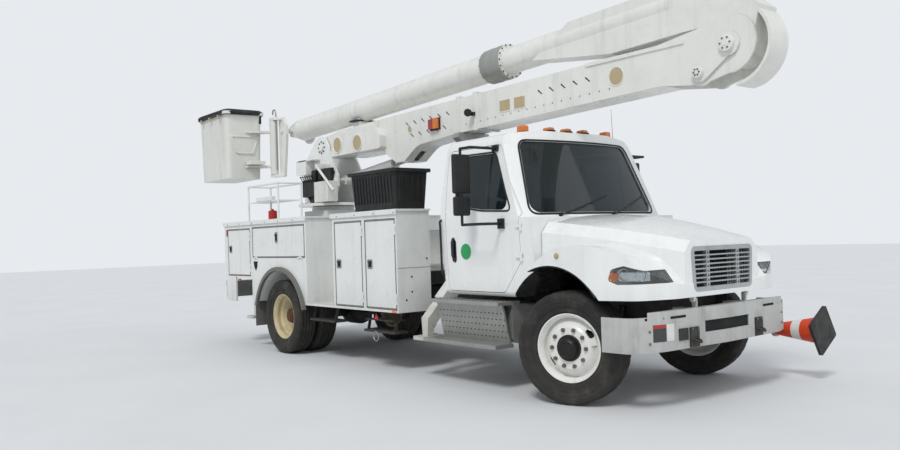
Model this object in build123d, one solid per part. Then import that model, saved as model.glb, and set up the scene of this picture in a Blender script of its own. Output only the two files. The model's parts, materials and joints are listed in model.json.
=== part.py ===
from build123d import *
import math
import os

# Bucket truck with an articulating aerial boom folded over its cab.
# Millimetres. X runs forward, Y to the left, Z up from the ground. While the pieces are made, x is
# counted from the front axle and y from the middle of the frame. The finished pieces are moved by
# ORIGIN_SHIFT, so that the origin lies on the ground under the middle of the truck's whole length
# and width, with the boom, the mirrors and the road cone.
ORIGIN_SHIFT = (3359, -88)

# Running clearances
GAP = 6            # round a door or lid
FIT = 0.4          # between a pin and its bore
TOUCH = 0.3        # between a piece and the seat it rests on

# Wheels and axles
WHEELBASE = 5250
REAR_X = -WHEELBASE      # the rear axle; the body's rear half is placed from it
TYRE_R = 510
TYRE_W = 280
RIM_R = 290        # bead seat
RIM_FLANGE_R = 310
RIM_W = 210
FRONT_TRACK_Y = 1030
DUAL_Y = (740, 1070)
STUD_CIRCLE_R = 167
STUD_COUNT = 10
KINGPIN_Y = 850
KINGPIN_R = 24
SPINDLE_R = 40
HUB_BORE = 30      # half the depth of the rear hubs' bores
STEER_AT_REST = 17
STEER_ARM = 190
BEAM_H = 100

# Ladder frame
RAIL_TOP = 950
RAIL_H = 260
RAIL_FLANGE = 90
RAIL_T = 10
RAIL_Y = 430
RAIL_REAR = REAR_X - 1790
RAIL_FRONT = 700
CROSS_X = (RAIL_REAR + 100, REAR_X - 750, REAR_X + 550, -3400, -2300, -900, 560)

# Cab
CAB_WALL = 45
CAB_MOUNT = 16
CAB_REAR = -1765
CAB_FRONT = -370
CAB_FLOOR = 930
CAB_HALF = 1080
ROOF_TOP = 2625
COWL_Z = 1700
SCREEN_SPREAD = 3600     # plan radius of the windscreen
SCREEN_BASE = -390       # where its middle meets the cowl
SCREEN_LEAN = (-320, 745)
ARCH_X = -90
ARCH_Z = 550
ARCH_R = 690
DOOR_HINGE = (-520, 1092)
DOOR_HINGE_Z = (1330, 1620)
HINGE_R = 11
HINGE_PIN_R = 5
DOOR_CUT_Y = 880         # doors are cut from the wall outside this
MIRROR_AT = (-1095, 1330)
MIRROR_TUBE_R = 14
# Each mirror foot on the door: x, z, inner y, half its height
MIRROR_FEET = ((-940, 2405, 940, 30), (-790, 1650, 1030, 50))

# Hood
HOOD_WALL = 30
HOOD_REAR = -362
HOOD_NOSE = 940
HOOD_LOW = 950
HOOD_PIVOT = (900, 925)
HOOD_PIN_R = 12
HOOD_LUG_Y = (400, 424)
FENDER_Y = 1170
WHEELHOUSE_Y = 620
GRILLE_HALF = 475
GRILLE_LOW = 990
GRILLE_TOP = 1385
GRILLE_BARS = 7

# Bumper
BUMPER_FRONT = 985
BUMPER_END = 545
BUMPER_Y = 1205
BUMPER_TOP = 858
BUMPER_LOW = 525
BUMPER_T = 12

# Road cone carried at the bumper
CONE_TIP = (440, 1375, 480)
CONE_L = 700
CONE_R = 135
CONE_BASE = 360

# Service body
BODY_REAR = REAR_X - 1820
BODY_FRONT = -2400
BODY_Y = 1215
BODY_INNER_Y = 750
BODY_TOP = 1850
BODY_LOW = 700
BODY_WALL = 25
RAIL_CAP = 20
DECK_Z = 1150
DECK_T = 12
REAR_BOX = (BODY_REAR, REAR_X - 880, 1035)       # rear x, front x, floor z
MID_BOX = (REAR_BOX[1], REAR_X + 770, 1290)
FRONT_BOX = (-3800, BODY_FRONT, 700)
DOOR_T = 30
# Each door: name, rear x, front x, bottom z, top z, hinge edge
BODY_DOORS = (
    ("rear", REAR_BOX[0] + 120, REAR_BOX[1] - 40, 1060, 1760, "front"),
    ("drop", MID_BOX[0] + 40, MID_BOX[1] - 40, 1330, 1770, "low"),
    ("tall_a", -3750, -3120, 735, 1765, "front"),
    ("tall_b", -3055, -2425, 735, 1765, "front"),
)
BODY_HINGE_OUT = 9
BODY_KNUCKLE_R = 8
BODY_KNUCKLE_L = 40
BODY_PIN_R = 4
BODY_LEAF = 24
WELL_R = 700
WELL_Z = 450

# Tow hook's plate: its holes are HITCH_Y and HITCH_Z apart about HITCH_MID
HITCH_T = 20
HITCH_Y = 86
HITCH_Z = 44
HITCH_MID = 625
HITCH_HOLE_R = 7

# Steps and tanks beside the frame
STEP_REAR = -1840
STEP_FRONT = -760

# Pedestal and turntable
TURN_X = -5800
TURN_Z = 2060
PEDESTAL_HALF = 330
TURN_R = 520
SIDE_PLATE_Y = 200
SIDE_PLATE_T = 30

# Lower boom
BOOM_PIN = (-5700, 2950)
BOOM_PIN_R = 50
LOWER_HALF = 180
LOWER_WALL = 14
ELBOW = (1197, 3122)
ELBOW_R = 250
ELBOW_PIN_R = 45
EAR_T = 30
EAR_INNER = 150
NECK_X = 480

# Lift cylinder: base pin on the turntable, eye under the lower boom's gusset
LIFT_BASE = (-5350, 2440)
LIFT_EYE = (-3750, 2610)
LIFT_R = 75
LIFT_BORE = 60
LIFT_ROD_R = 40
LIFT_PIN_R = 28
LIFT_EYE_W = 84
LIFT_BARREL = 1250

# Upper boom
TUBE_R = 170
TUBE_WALL = 12
STEEL_TUBE_R = 152
TUBE_TIP = (-6820, 3340)      # centre of the tip's pin, on the tube's axis
TUBE_SLOPE = 0.0394           # rise of the tube's axis towards the elbow
COLLAR_X = -1900
COLLAR_R = 198
COLLAR_L = 340
WRAP_R = 365
ROOT_HALF = 140

# Bucket and its carrier
TIP_PIN_R = 40
SHEAVE_R = 190
SHEAVE_Y = (178, 218)
BUCKET_X = (-8240, -7160)
BUCKET_Y = (-1100, -480)
BUCKET_Z = (2585, 3655)
BUCKET_DRAFT = 25
BUCKET_WALL = 14
BUCKET_LIP = 40
SWIVEL = (-7000, -360)
SWIVEL_R = 45
SLEEVE_R = 65
MAST_Z = (2600, 3560)

# Outriggers: slanted boxes that cross above the frame
LEG_SLANT = 45
LEG_BOX = 150
LEG_WALL = 12
LEG_TUBE = 125
LEG_LEN = 1250
FOOT_Y = 1050
FOOT_Z = 610
LEG_SET = (("front_right", -2080, -1), ("front_left", -2290, 1),
           ("rear_right", REAR_X - 1050, -1), ("rear_left", REAR_X - 1260, 1))


def block(x0, x1, y0, y1, z0, z1):
    """Rectangular block between two corners."""
    place = Pos((x0 + x1) / 2, (y0 + y1) / 2, (z0 + z1) / 2)
    return place * Box(abs(x1 - x0), abs(y1 - y0), abs(z1 - z0))


def set_in(points, radii, t):
    """Move every edge of a closed outline inward by t; its round corners follow."""
    count = len(points)
    area = sum(points[i - 1][0] * points[i][1] - points[i][0] * points[i - 1][1] for i in range(count))
    turn = 1 if area > 0 else -1
    new_points, new_radii = [], []
    for i in range(count):
        (ax, ay), (bx, by), (cx, cy) = points[i - 1], points[i], points[(i + 1) % count]
        before, after = math.hypot(bx - ax, by - ay), math.hypot(cx - bx, cy - by)
        ux, uy, vx, vy = (bx - ax) / before, (by - ay) / before, (cx - bx) / after, (cy - by) / after
        share = t * turn / (1 + ux * vx + uy * vy)
        new_points.append((bx - share * (uy + vy), by + share * (ux + vx)))
        hollow = (ux * vy - uy * vx) * turn < 0
        new_radii.append(radii[i] + t if hollow else max(radii[i] - t, 0))
    return new_points, new_radii


def outline(points, radius=0, t=0):
    """Closed flat outline with round corners, set in by t; radius is one value or one for each point."""
    radii = radius if isinstance(radius, tuple) else (radius,) * len(points)
    if t:
        points, radii = set_in(points, radii, t)
    if any(radii):
        return make_face(FilletPolyline(*points, radius=radii, close=True))
    return make_face(Polyline(*points, close=True))


def across(face, y0, y1):
    """Extrude a side outline, drawn in x and z, across the truck."""
    plane = Plane(origin=(0, y1, 0), x_dir=(1, 0, 0), z_dir=(0, -1, 0))
    return extrude(plane * face, amount=y1 - y0)


def along(face, x0, x1):
    """Extrude a cross-section, drawn in y and z, along the truck."""
    plane = Plane(origin=(x0, 0, 0), x_dir=(0, 1, 0), z_dir=(1, 0, 0))
    return extrude(plane * face, amount=x1 - x0)


def upward(face, z0, z1):
    """Extrude a plan outline, drawn in x and y, upward."""
    return extrude(Pos(0, 0, z0) * face, amount=z1 - z0)


def rod(a, b, r):
    """Round bar between two points."""
    way = Vector(*b) - Vector(*a)
    return extrude(Plane(origin=a, z_dir=way) * Circle(r), amount=way.length)


def cross_rod(at, r, y0, y1):
    """Round bar across the truck at a point (x, z)."""
    return rod((at[0], y0, at[1]), (at[0], y1, at[1]), r)


def both_sides(shape):
    """The shape with its mirror image on the truck's other side."""
    return shape + mirror(shape, about=Plane.XZ)


def to_side(shape, side):
    """Keep a shape made for the left, or mirror it to the right (side -1)."""
    return shape if side > 0 else mirror(shape, about=Plane.XZ)


def fused(shapes):
    """Fuse a list of shapes into one."""
    whole = shapes[0]
    for shape in shapes[1:]:
        whole += shape
    return whole


def leaf_spring(x0, rise_z, end_z, half, y0, y1, thick):
    """Bowed leaf pack with a hanger at each end up to the frame."""
    low = ThreePointArc((x0 - half, end_z), (x0, rise_z), (x0 + half, end_z))
    top = ThreePointArc((x0 + half, end_z + thick), (x0, rise_z + thick), (x0 - half, end_z + thick))
    face = make_face([low, Line(low @ 1, top @ 0), top, Line(top @ 1, low @ 0)])
    return across(face, y0, y1)


def frame_rails():
    """Two channel rails joined by cross members."""
    low = RAIL_TOP - RAIL_H
    inner = RAIL_Y - RAIL_FLANGE
    section = outline(((RAIL_Y, low), (RAIL_Y, RAIL_TOP), (inner, RAIL_TOP), (inner, RAIL_TOP - RAIL_T),
                       (RAIL_Y - RAIL_T, RAIL_TOP - RAIL_T), (RAIL_Y - RAIL_T, low + RAIL_T),
                       (inner, low + RAIL_T), (inner, low)))
    frame = both_sides(along(section, RAIL_REAR, RAIL_FRONT))
    web = RAIL_Y - RAIL_T
    for x in CROSS_X:
        frame += block(x - 45, x + 45, -web, web, RAIL_TOP - 130, RAIL_TOP - RAIL_T)
    return frame


def front_suspension():
    """Dropped beam axle with kingpins, on two leaf springs."""
    top = TYRE_R + BEAM_H / 2
    drop = 90
    beam = along(outline(((KINGPIN_Y, top), (KINGPIN_Y, top - BEAM_H), (KINGPIN_Y - 60, top - BEAM_H),
                          (560, top - BEAM_H - drop), (-560, top - BEAM_H - drop),
                          (60 - KINGPIN_Y, top - BEAM_H), (-KINGPIN_Y, top - BEAM_H),
                          (-KINGPIN_Y, top), (-KINGPIN_Y + 80, top), (-580, top - drop),
                          (580, top - drop), (KINGPIN_Y - 80, top))), -36, 36)
    seat = top - drop
    body = beam
    for side in (1, -1):
        pin_y = side * KINGPIN_Y
        body += rod((0, pin_y, TYRE_R - 110), (0, pin_y, TYRE_R + 110), KINGPIN_R)
        body += rod((0, pin_y, top - BEAM_H), (0, pin_y, top), 40)
        y0, y1 = sorted((side * 350, side * 426))
        body += leaf_spring(0, seat - 5, 610, 620, y0, y1, 55)
        for x in (-600, 600):
            body += block(x - 30, x + 30, y0, y1, 630, RAIL_TOP - RAIL_H)
        body += block(-60, 60, y0, y1, seat - 20, seat + 90)
    return body


def rear_suspension():
    """Drive axle with its bowl, on two leaf springs hung outside the frame."""
    x = REAR_X
    axle = cross_rod((x, TYRE_R), 75, -DUAL_Y[0] + 90, DUAL_Y[0] - 90)
    bowl = rod((x - 130, 0, TYRE_R), (x + 210, 0, TYRE_R), 195)
    bowl = fillet(bowl.edges().filter_by(GeomType.CIRCLE), 60)
    spindle = cross_rod((x, TYRE_R), SPINDLE_R, -DUAL_Y[0] - 65, DUAL_Y[0] + 65)
    body = axle + bowl + spindle
    for side in (1, -1):
        y0, y1 = sorted((side * (RAIL_Y + TOUCH), side * (RAIL_Y + 76)))
        body += leaf_spring(x, TYRE_R + 70, 690, 640, y0, y1, 80)
        for end in (x - 610, x + 610):
            body += block(end - 40, end + 40, y0, y1, 700, 880)
        body += block(x - 80, x + 80, y0, y1, TYRE_R + 40, TYRE_R + 160)
    return body


def powertrain():
    """Engine with radiator, gearbox and drive shaft as plain masses."""
    engine = block(-340, 420, -310, 310, 700, 1420)
    gearbox = block(-1500, -340, -210, 210, 640, 815)
    radiator = block(560, 700, -420, 420, 960, 1400)
    hoses = block(420, 560, -120, 120, 1050, 1200)
    shaft = rod((-1500, 0, 700), (REAR_X + 214, 0, TYRE_R + 20), 50)
    reach = RAIL_Y - RAIL_T - TOUCH
    mounts = block(-60, 60, -reach, reach, 780, 860)
    return engine + gearbox + radiator + hoses + shaft + mounts


def tyre():
    """One tyre about the Z axis, outboard up."""
    tread, shoulder, half = 105, 120, TYRE_W / 2
    bead = RIM_W / 2 - 16
    points = ((RIM_R + TOUCH, -bead), (RIM_R + TOUCH, bead), (RIM_FLANGE_R + 2, bead), (RIM_FLANGE_R + 4, 112),
              (360, half - 6), (420, half), (470, half - 4), (500, shoulder), (TYRE_R, tread), (TYRE_R, -tread),
              (500, -shoulder), (470, 4 - half), (420, -half), (360, 6 - half), (RIM_FLANGE_R + 4, -112),
              (RIM_FLANGE_R + 2, -bead))
    return revolve(Plane.XZ * outline(points), Axis.Z)


def barrel_outline():
    """Half-section of a rim's barrel about its own middle, in (radius, outboard)."""
    half = RIM_W / 2
    well = RIM_R - 12
    return outline(((RIM_FLANGE_R, half), (RIM_FLANGE_R - 10, half), (RIM_R - 8, half - 22), (well - 8, 60),
                    (well - 8, -60), (RIM_R - 8, 22 - half), (RIM_FLANGE_R - 10, -half),
                    (RIM_FLANGE_R, -half), (RIM_FLANGE_R, 14 - half), (RIM_R, 15 - half), (well, -60),
                    (well, 60), (RIM_R, half - 15), (RIM_FLANGE_R, half - 14)))


def front_wheel(face_out=92):
    """Convex steel disc with stud holes, two hand holes and a hub."""
    disc = ((RIM_R - 14, 10), (255, 22), (205, face_out - 12), (185, face_out), (105, face_out), (105, face_out - 14),
            (185, face_out - 14), (198, face_out - 26), (246, 8), (RIM_R - 14, -6))
    wheel = revolve(Plane.XZ * (barrel_outline() + outline(disc)), Axis.Z)
    hub = Pos(0, 0, (face_out - 60) / 2) * Cylinder(120, face_out + 60)
    cap = Pos(0, 0, face_out + 25) * Cylinder(78, 60)
    wheel += hub + fillet(cap.edges().group_by(Axis.Z)[-1], 14)
    wheel += studs(face_out - 1, 24)
    for turn in (35, 215):
        wheel -= Rot(0, 0, turn) * Pos(226, 0, 60) * extrude(SlotOverall(90, 42, 90), amount=120, both=True)
    return wheel - Pos(0, 0, -20) * Cylinder(SPINDLE_R + FIT, 90)


def studs(z0, height):
    """Ring of wheel nuts that stand on the disc."""
    ring = PolarLocations(STUD_CIRCLE_R, STUD_COUNT)
    return fused([place * Pos(0, 0, z0 + height / 2) * Cylinder(15, height) for place in ring])


def rear_wheels():
    """Two rims back to back on one hub; z = 0 is the plane where their discs meet."""
    reach = (DUAL_Y[1] - DUAL_Y[0]) / 2
    disc = outline(((RIM_R - 14, reach + 20), (RIM_R - 14, reach + 4), (262, reach - 20), (205, 10), (194, 0),
                    (90, 0), (90, 13), (188, 13), (200, 22), (250, reach - 10)))
    rim = revolve(Plane.XZ * (Pos(0, reach) * barrel_outline() + disc), Axis.Z)
    hub = Pos(0, 0, -10) * Cylinder(102, 290)
    flange = Pos(0, 0, 155) * Cylinder(72, 50)
    wheel = rim + mirror(rim, about=Plane.XY) + hub + flange + studs(12, 30)
    return wheel - Pos(0, 0, -125) * Cylinder(SPINDLE_R + FIT, 2 * HUB_BORE)


def dual_tyres():
    """The two tyres of a rear wheel set, about the same plane."""
    reach = (DUAL_Y[1] - DUAL_Y[0]) / 2
    return Compound([Pos(0, 0, reach) * tyre(), Pos(0, 0, -reach) * tyre()])


def on_axle(shape, x, y, side):
    """Put a wheel piece, made about Z with outboard up, on an axle's end."""
    return Pos(x, side * y, TYRE_R) * Rot(-90 * side, 0, 0) * shape


def steered(shape, side):
    """Turn a piece about its kingpin to the parked steering angle."""
    pin = Pos(0, side * KINGPIN_Y, 0)
    return pin * Rot(0, 0, STEER_AT_REST) * pin.inverse() * shape


def knuckle(side):
    """Forked knuckle about the kingpin, with its spindle and steering arm."""
    y = KINGPIN_Y
    top = TYRE_R + BEAM_H / 2 + GAP
    low = TYRE_R - BEAM_H / 2 - GAP
    plate = block(-50, 50, y + 46, y + 70, low - 40, top + 40)
    lugs = block(-38, 38, y - 38, y + 50, top, top + 40) + block(-38, 38, y - 38, y + 50, low - 40, low)
    spindle = rod((0, y + 60, TYRE_R), (0, FRONT_TRACK_Y + 20, TYRE_R), SPINDLE_R)
    arm = upward(outline(((30, y - 20), (30, y + 30), (-STEER_ARM - 20, y - 5), (-STEER_ARM - 20, y - 45))),
                 low - 40, low - 12)
    body = plate + lugs + spindle + arm
    body -= rod((0, y, low - 60), (0, y, top + 60), KINGPIN_R + FIT)
    return steered(to_side(body, side), side)


def arm_end(side):
    """Plan position of a steering arm's end at the parked steering angle."""
    turn = math.radians(STEER_AT_REST)
    y_in = -side * 25
    x = -STEER_ARM * math.cos(turn) - y_in * math.sin(turn)
    y = side * KINGPIN_Y - STEER_ARM * math.sin(turn) + y_in * math.cos(turn)
    return x, y


def tie_rod():
    """Rod between the two steering arms, hung under them on ball studs."""
    arm_low = TYRE_R - BEAM_H / 2 - GAP - 40
    z = arm_low - 30
    (x, right), (_, left) = arm_end(-1), arm_end(1)
    body = rod((x, right - 22, z), (x, left + 22, z), 20)
    for y in (right, left):
        body += rod((x, y, z - 22), (x, y, arm_low - TOUCH), 24)
    return body


def screen_sweep(back):
    """Everything behind the curved, leaning windscreen, and the cowl below; back moves it rearward."""
    run, rise = SCREEN_LEAN
    plane = Plane(origin=(SCREEN_BASE - back, 0, COWL_Z + 30), x_dir=(0, 1, 0), z_dir=(run, 0, rise))
    ahead = plane.to_local_coords(Vector(SCREEN_BASE - back + 1, 0, COWL_Z + 30)).Y
    sign = math.copysign(1, ahead)
    half = 1300
    sag = SCREEN_SPREAD - math.sqrt(SCREEN_SPREAD ** 2 - half ** 2)
    nose = ThreePointArc((-half, -sign * sag), (0, 0), (half, -sign * sag))
    face = make_face([nose, Polyline(nose @ 1, (half, -sign * 2200), (-half, -sign * 2200), nose @ 0)])
    return extrude(plane * face, amount=2200, both=True) + block(-3000, 0, -half, half, 0, COWL_Z - back)


def cab_form(t):
    """Solid cab shape, set in by t on every side."""
    side = outline(((-1700, CAB_FLOOR), (CAB_REAR, 1500), (CAB_REAR, 1900), (-1725, 2600), (-1000, ROOF_TOP + 10),
                    (-660, 2570), (CAB_FRONT, COWL_Z + 40), (CAB_FRONT, CAB_FLOOR)),
                   (60, 500, 400, 120, 600, 60, 0, 60), t)
    end = outline(((-1065, CAB_FLOOR), (-CAB_HALF, 1700), (-1055, 1960), (-965, 2550), (0, ROOF_TOP + 28),
                   (965, 2550), (1055, 1960), (CAB_HALF, 1700), (1065, CAB_FLOOR)),
                  (60, 900, 900, 130, 4500, 130, 900, 900, 60), t)
    form = across(side, -1300, 1300) & along(end, -2000, 0) & screen_sweep(t)
    return form - cross_rod((ARCH_X, ARCH_Z), ARCH_R + t, -1300, 1300) - cab_tunnel(t)


def cab_tunnel(t):
    """Space for the frame under the cab's floor, grown by t."""
    y = RAIL_Y + 30 + t
    return block(-2000, 0, -y, y, 0, RAIL_TOP + CAB_MOUNT + t)


def door_outline(t=0):
    """Side outline of the cab door."""
    return outline(((-1660, 975), (-1690, 2440), (-875, 2440), (-560, 1740), (-545, 1280), (-790, 975)),
                   (70, 80, 70, 60, 80, 70), t)


def door_window(t=0):
    """Side outline of the cab door's window."""
    return outline(((-1520, 1865), (-1590, 2370), (-945, 2360), (-680, 1780), (-1100, 1800)),
                   (70, 60, 60, 80, 400), t)


def screen_outline(t=0):
    """Front outline of the windscreen, in y and z."""
    return outline(((-935, 1745), (-800, 2475), (800, 2475), (935, 1745)), 90, t)


def rear_window_outline(t=0):
    """Outline of the cab's rear window, in y and z."""
    return outline(((-480, 1880), (-450, 2330), (450, 2330), (480, 1880)), 60, t)


def door_skin(face, side):
    """The part of the cab's wall inside a side outline."""
    return (cab_form(0) - cab_form(CAB_WALL)) & to_side(across(face, DOOR_CUT_Y, 1300), side)


def cab_shell():
    """Hollow cab with its openings for doors, windscreen and rear window."""
    shell = cab_form(0) - cab_form(CAB_WALL)
    shell -= both_sides(across(door_outline(-GAP), DOOR_CUT_Y, 1300))
    shell -= along(screen_outline(), -1000, -300)
    shell -= along(rear_window_outline(), -1900, -1500)
    for x in (-1600, -750):
        shell += both_sides(block(x - 50, x + 50, RAIL_Y - 80, RAIL_Y, RAIL_TOP + TOUCH, RAIL_TOP + CAB_MOUNT + 1))
    for z in DOOR_HINGE_Z:
        shell += both_sides(door_hinge(z))
    return shell


def door_hinge(z):
    """Knuckles and pin of a left door's hinge on the cab's front pillar."""
    x, y = DOOR_HINGE
    hinge = rod((x, y, z - 45), (x, y, z + 45), HINGE_PIN_R)
    for z0, z1 in ((z - 45, z - 16), (z + 16, z + 45)):
        hinge += rod((x, y, z0), (x, y, z1), HINGE_R) + block(x - HINGE_R, x + HINGE_R, y - 40, y, z0, z1)
    return hinge


def door_strap(z):
    """Knuckle between them, on a strap from the left door."""
    x, y = DOOR_HINGE
    strap = block(x - 80, x, y - 8, y + 2, z - 15, z + 15) + block(x - 80, x - 50, y - 40, y + 2, z - 15, z + 15)
    return strap + rod((x, y, z - 15), (x, y, z + 15), HINGE_R)


def cab_glass():
    """Windscreen and rear window."""
    inset = 18
    band = cab_form(inset) - cab_form(inset + 6)
    screen = band & along(screen_outline(TOUCH), -1000, -300)
    rear = band & along(rear_window_outline(TOUCH), -1900, -1500)
    return Compound([screen.solid(), rear.solid()])


def cab_door(side):
    """Door panel with its window cut out."""
    x, y = DOOR_HINGE
    door = door_skin(door_outline(), 1) - across(door_window(), DOOR_CUT_Y, 1300)
    for z in DOOR_HINGE_Z:
        door += door_strap(z)
        door -= rod((x, y, z - 20), (x, y, z + 20), HINGE_PIN_R + FIT)
    return to_side(door, side)


def door_glass(side):
    """Side window of a cab door."""
    band = cab_form(18) - cab_form(24)
    return band & to_side(across(door_window(TOUCH), DOOR_CUT_Y, 1300), side)


def mirror_set(side):
    """Two mirror heads on a bent tube held by two feet on the door."""
    x0, y = MIRROR_AT
    head = block(x0 - 25, x0 + 25, y - 105, y + 105, 1960, 2350)
    convex = block(x0 - 25, x0 + 25, y - 100, y + 100, 1740, 1930)
    body = fillet(head.edges(), 20) + fillet(convex.edges(), 20)
    for x, z, y_in, half in MIRROR_FEET:
        body += rod((x, y_in, z), (x, y, z), MIRROR_TUBE_R) + rod((x, y, z), (x0, y, z), MIRROR_TUBE_R)
        body += block(x - 40, x + 40, y_in, y_in + 75, z - half, z + half)
        body += Pos(x0, y, z) * Sphere(MIRROR_TUBE_R) + Pos(x, y, z) * Sphere(MIRROR_TUBE_R)
    body += rod((x0, y, MIRROR_FEET[1][1]), (x0, y, MIRROR_FEET[0][1]), MIRROR_TUBE_R)
    return to_side(body, side) - cab_form(-TOUCH)


def cab_interior():
    """Dashboard with the steering wheel, and the seats' bases."""
    front = CAB_FRONT - CAB_WALL - TOUCH
    dash = across(outline(((front, 1350), (front, 1590), (-560, 1660), (-780, 1600), (-820, 1480), (-700, 1350))),
                  -940, 940)
    wheel = Pos(-960, 520, 1590) * Rot(0, -60, 0) * Torus(220, 16)
    spokes = Pos(-960, 520, 1590) * Rot(0, -60, 0) * (Box(420, 40, 14) + Cylinder(50, 40))
    column = rod((-960, 520, 1590), (-720, 520, 1470), 30)
    floor = CAB_FLOOR + CAB_WALL
    legs = fused([block(-1500, -1150, y - 200, y + 200, floor + TOUCH, 1190) for y in (-520, 520)])
    legs -= cab_tunnel(CAB_WALL + TOUCH)
    return Compound([dash + wheel + spokes + column] + list(legs.solids()))


def seats():
    """Driver's and passenger's seats: cushion and back."""
    solids = []
    for y in (-520, 520):
        cushion = block(-1600, -1090, y - 240, y + 240, 1190 + TOUCH, 1330)
        back = across(outline(((-1600, 1330), (-1470, 1330), (-1520, 1990), (-1610, 1990))), y - 230, y + 230)
        solids.append(cushion + back)
    return Compound([seat.solid() for seat in solids])


def roof_lamps():
    """Five clearance lamps along the front edge of the roof."""
    lamps = []
    for y in (-635, -260, 0, 260, 635):
        dome = block(-965, -865, y - 35, y + 35, 2560, 2655)
        dome = fillet(dome.edges().group_by(Axis.Z)[-1], 18)
        lamps.append((dome - cab_form(0)).solids().sort_by(Axis.Z)[-1])
    return Compound(lamps)


def hood_section(x, half, crown, shoulder, t):
    """Cross-section of the hood's middle, in y and z, set in by t and open below."""
    plane = Plane(origin=(x, 0, 0), x_dir=(0, 1, 0), z_dir=(1, 0, 0))
    wide, top, edge, low = half - t, crown - t, shoulder - t, HOOD_LOW - t
    arc = ThreePointArc((90 - wide, edge + 40), (0, top), (wide - 90, edge + 40))
    return plane * make_face([Polyline((90 - wide, edge + 40), (-wide, edge - 60), (-wide - 15, low),
                                       (wide + 15, low), (wide, edge - 60), (wide - 90, edge + 40)), arc])


def hood_form(t):
    """Solid hood shape with its two fenders, set in by t on top, front and sides."""
    rear = HOOD_REAR - t
    middle = loft([hood_section(rear, 960, 1715, 1610, t), hood_section(300, 790, 1640, 1520, t),
                   hood_section(HOOD_NOSE - t, 560, 1450, 1400, t)])
    low = HOOD_LOW - 2 * t
    back = HOOD_REAR - 2 * t
    crest = outline(((back, 1225), (-40, 1405), (360, 1440), (760, 1300), (HOOD_NOSE + 10, 1060),
                     (HOOD_NOSE + 10, low), (back, low)), (0, 400, 500, 400, 60, 0, 0), t)
    y = FENDER_Y
    plan = outline(((back, y), (420, y), (820, 1040), (HOOD_NOSE, 700), (HOOD_NOSE + 20, 0),
                    (HOOD_NOSE, -700), (820, -1040), (420, -y), (back, -y)),
                   (0, 500, 220, 300, 0, 300, 220, 500, 0), t)
    fenders = across(crest, -1250, 1250) & upward(plan, 800, 1800)
    arch = cross_rod((ARCH_X, ARCH_Z), ARCH_R + t * 0.8, WHEELHOUSE_Y, 1250)
    return middle + fenders - both_sides(arch)


def headlamp_outline(t=0):
    """Side outline of a headlamp, in x and z."""
    return outline(((560, 1120), (590, 1215), (700, 1245), (900, 1180), (960, 1090), (640, 1085)),
                   (25, 40, 60, 60, 25, 30), t)


def grille_outline(t=0):
    """Front outline of the grille, in y and z."""
    wide = GRILLE_HALF
    return outline(((25 - wide, GRILLE_LOW), (-wide, GRILLE_TOP), (wide, GRILLE_TOP), (wide - 25, GRILLE_LOW)), 55, t)


def hood():
    """Tilting hood: a shell with fenders, open below and behind."""
    shell = hood_form(0) - hood_form(HOOD_WALL)
    shell -= along(grille_outline(), 700, 1100)
    shell -= both_sides(across(headlamp_outline(), 700, 1300) & hood_lamp_zone())
    shell = max(shell.solids(), key=lambda solid: solid.volume)
    x, z = HOOD_PIVOT
    y0, y1 = HOOD_LUG_Y
    shell += both_sides(block(x - 22, x + 25, y0, y1, z, HOOD_LOW + 30) + cross_rod(HOOD_PIVOT, 22, y0, y1))
    return shell - cross_rod(HOOD_PIVOT, HOOD_PIN_R + FIT, -500, 500)


def hood_lamp_zone():
    """The front outer corner, where a headlamp lies in the fender."""
    return block(500, 1100, 600, 1300, 1000, 1300)


def headlamps():
    """Almond-shaped lamps set into the fenders."""
    band = hood_form(4) - hood_form(HOOD_WALL - 4)
    pane = across(headlamp_outline(TOUCH), 700, 1300) & hood_lamp_zone()
    lamp = max((band & pane).solids(), key=lambda solid: solid.volume)
    return Compound([lamp, mirror(lamp, about=Plane.XZ)])


def grille():
    """Frame with level bars and two uprights."""
    frame = along(grille_outline(TOUCH), HOOD_NOSE - 40, HOOD_NOSE + 6)
    frame -= along(grille_outline(40), HOOD_NOSE - 60, HOOD_NOSE + 60)
    pitch = (GRILLE_TOP - GRILLE_LOW - 80) / (GRILLE_BARS + 1)
    wide = GRILLE_HALF - 35
    for i in range(GRILLE_BARS):
        z = GRILLE_LOW + 40 + pitch * (i + 1)
        bar = block(HOOD_NOSE - 30, HOOD_NOSE + 2, -wide, wide, z - 7, z + 7)
        frame += fillet(bar.edges().filter_by(Axis.Y).group_by(Axis.X)[-1], 5)
    for y in (-230, 230):
        frame += block(HOOD_NOSE - 34, HOOD_NOSE + 4, y - 22, y + 22, GRILLE_LOW + 30, GRILLE_TOP - 30)
    return frame


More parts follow.
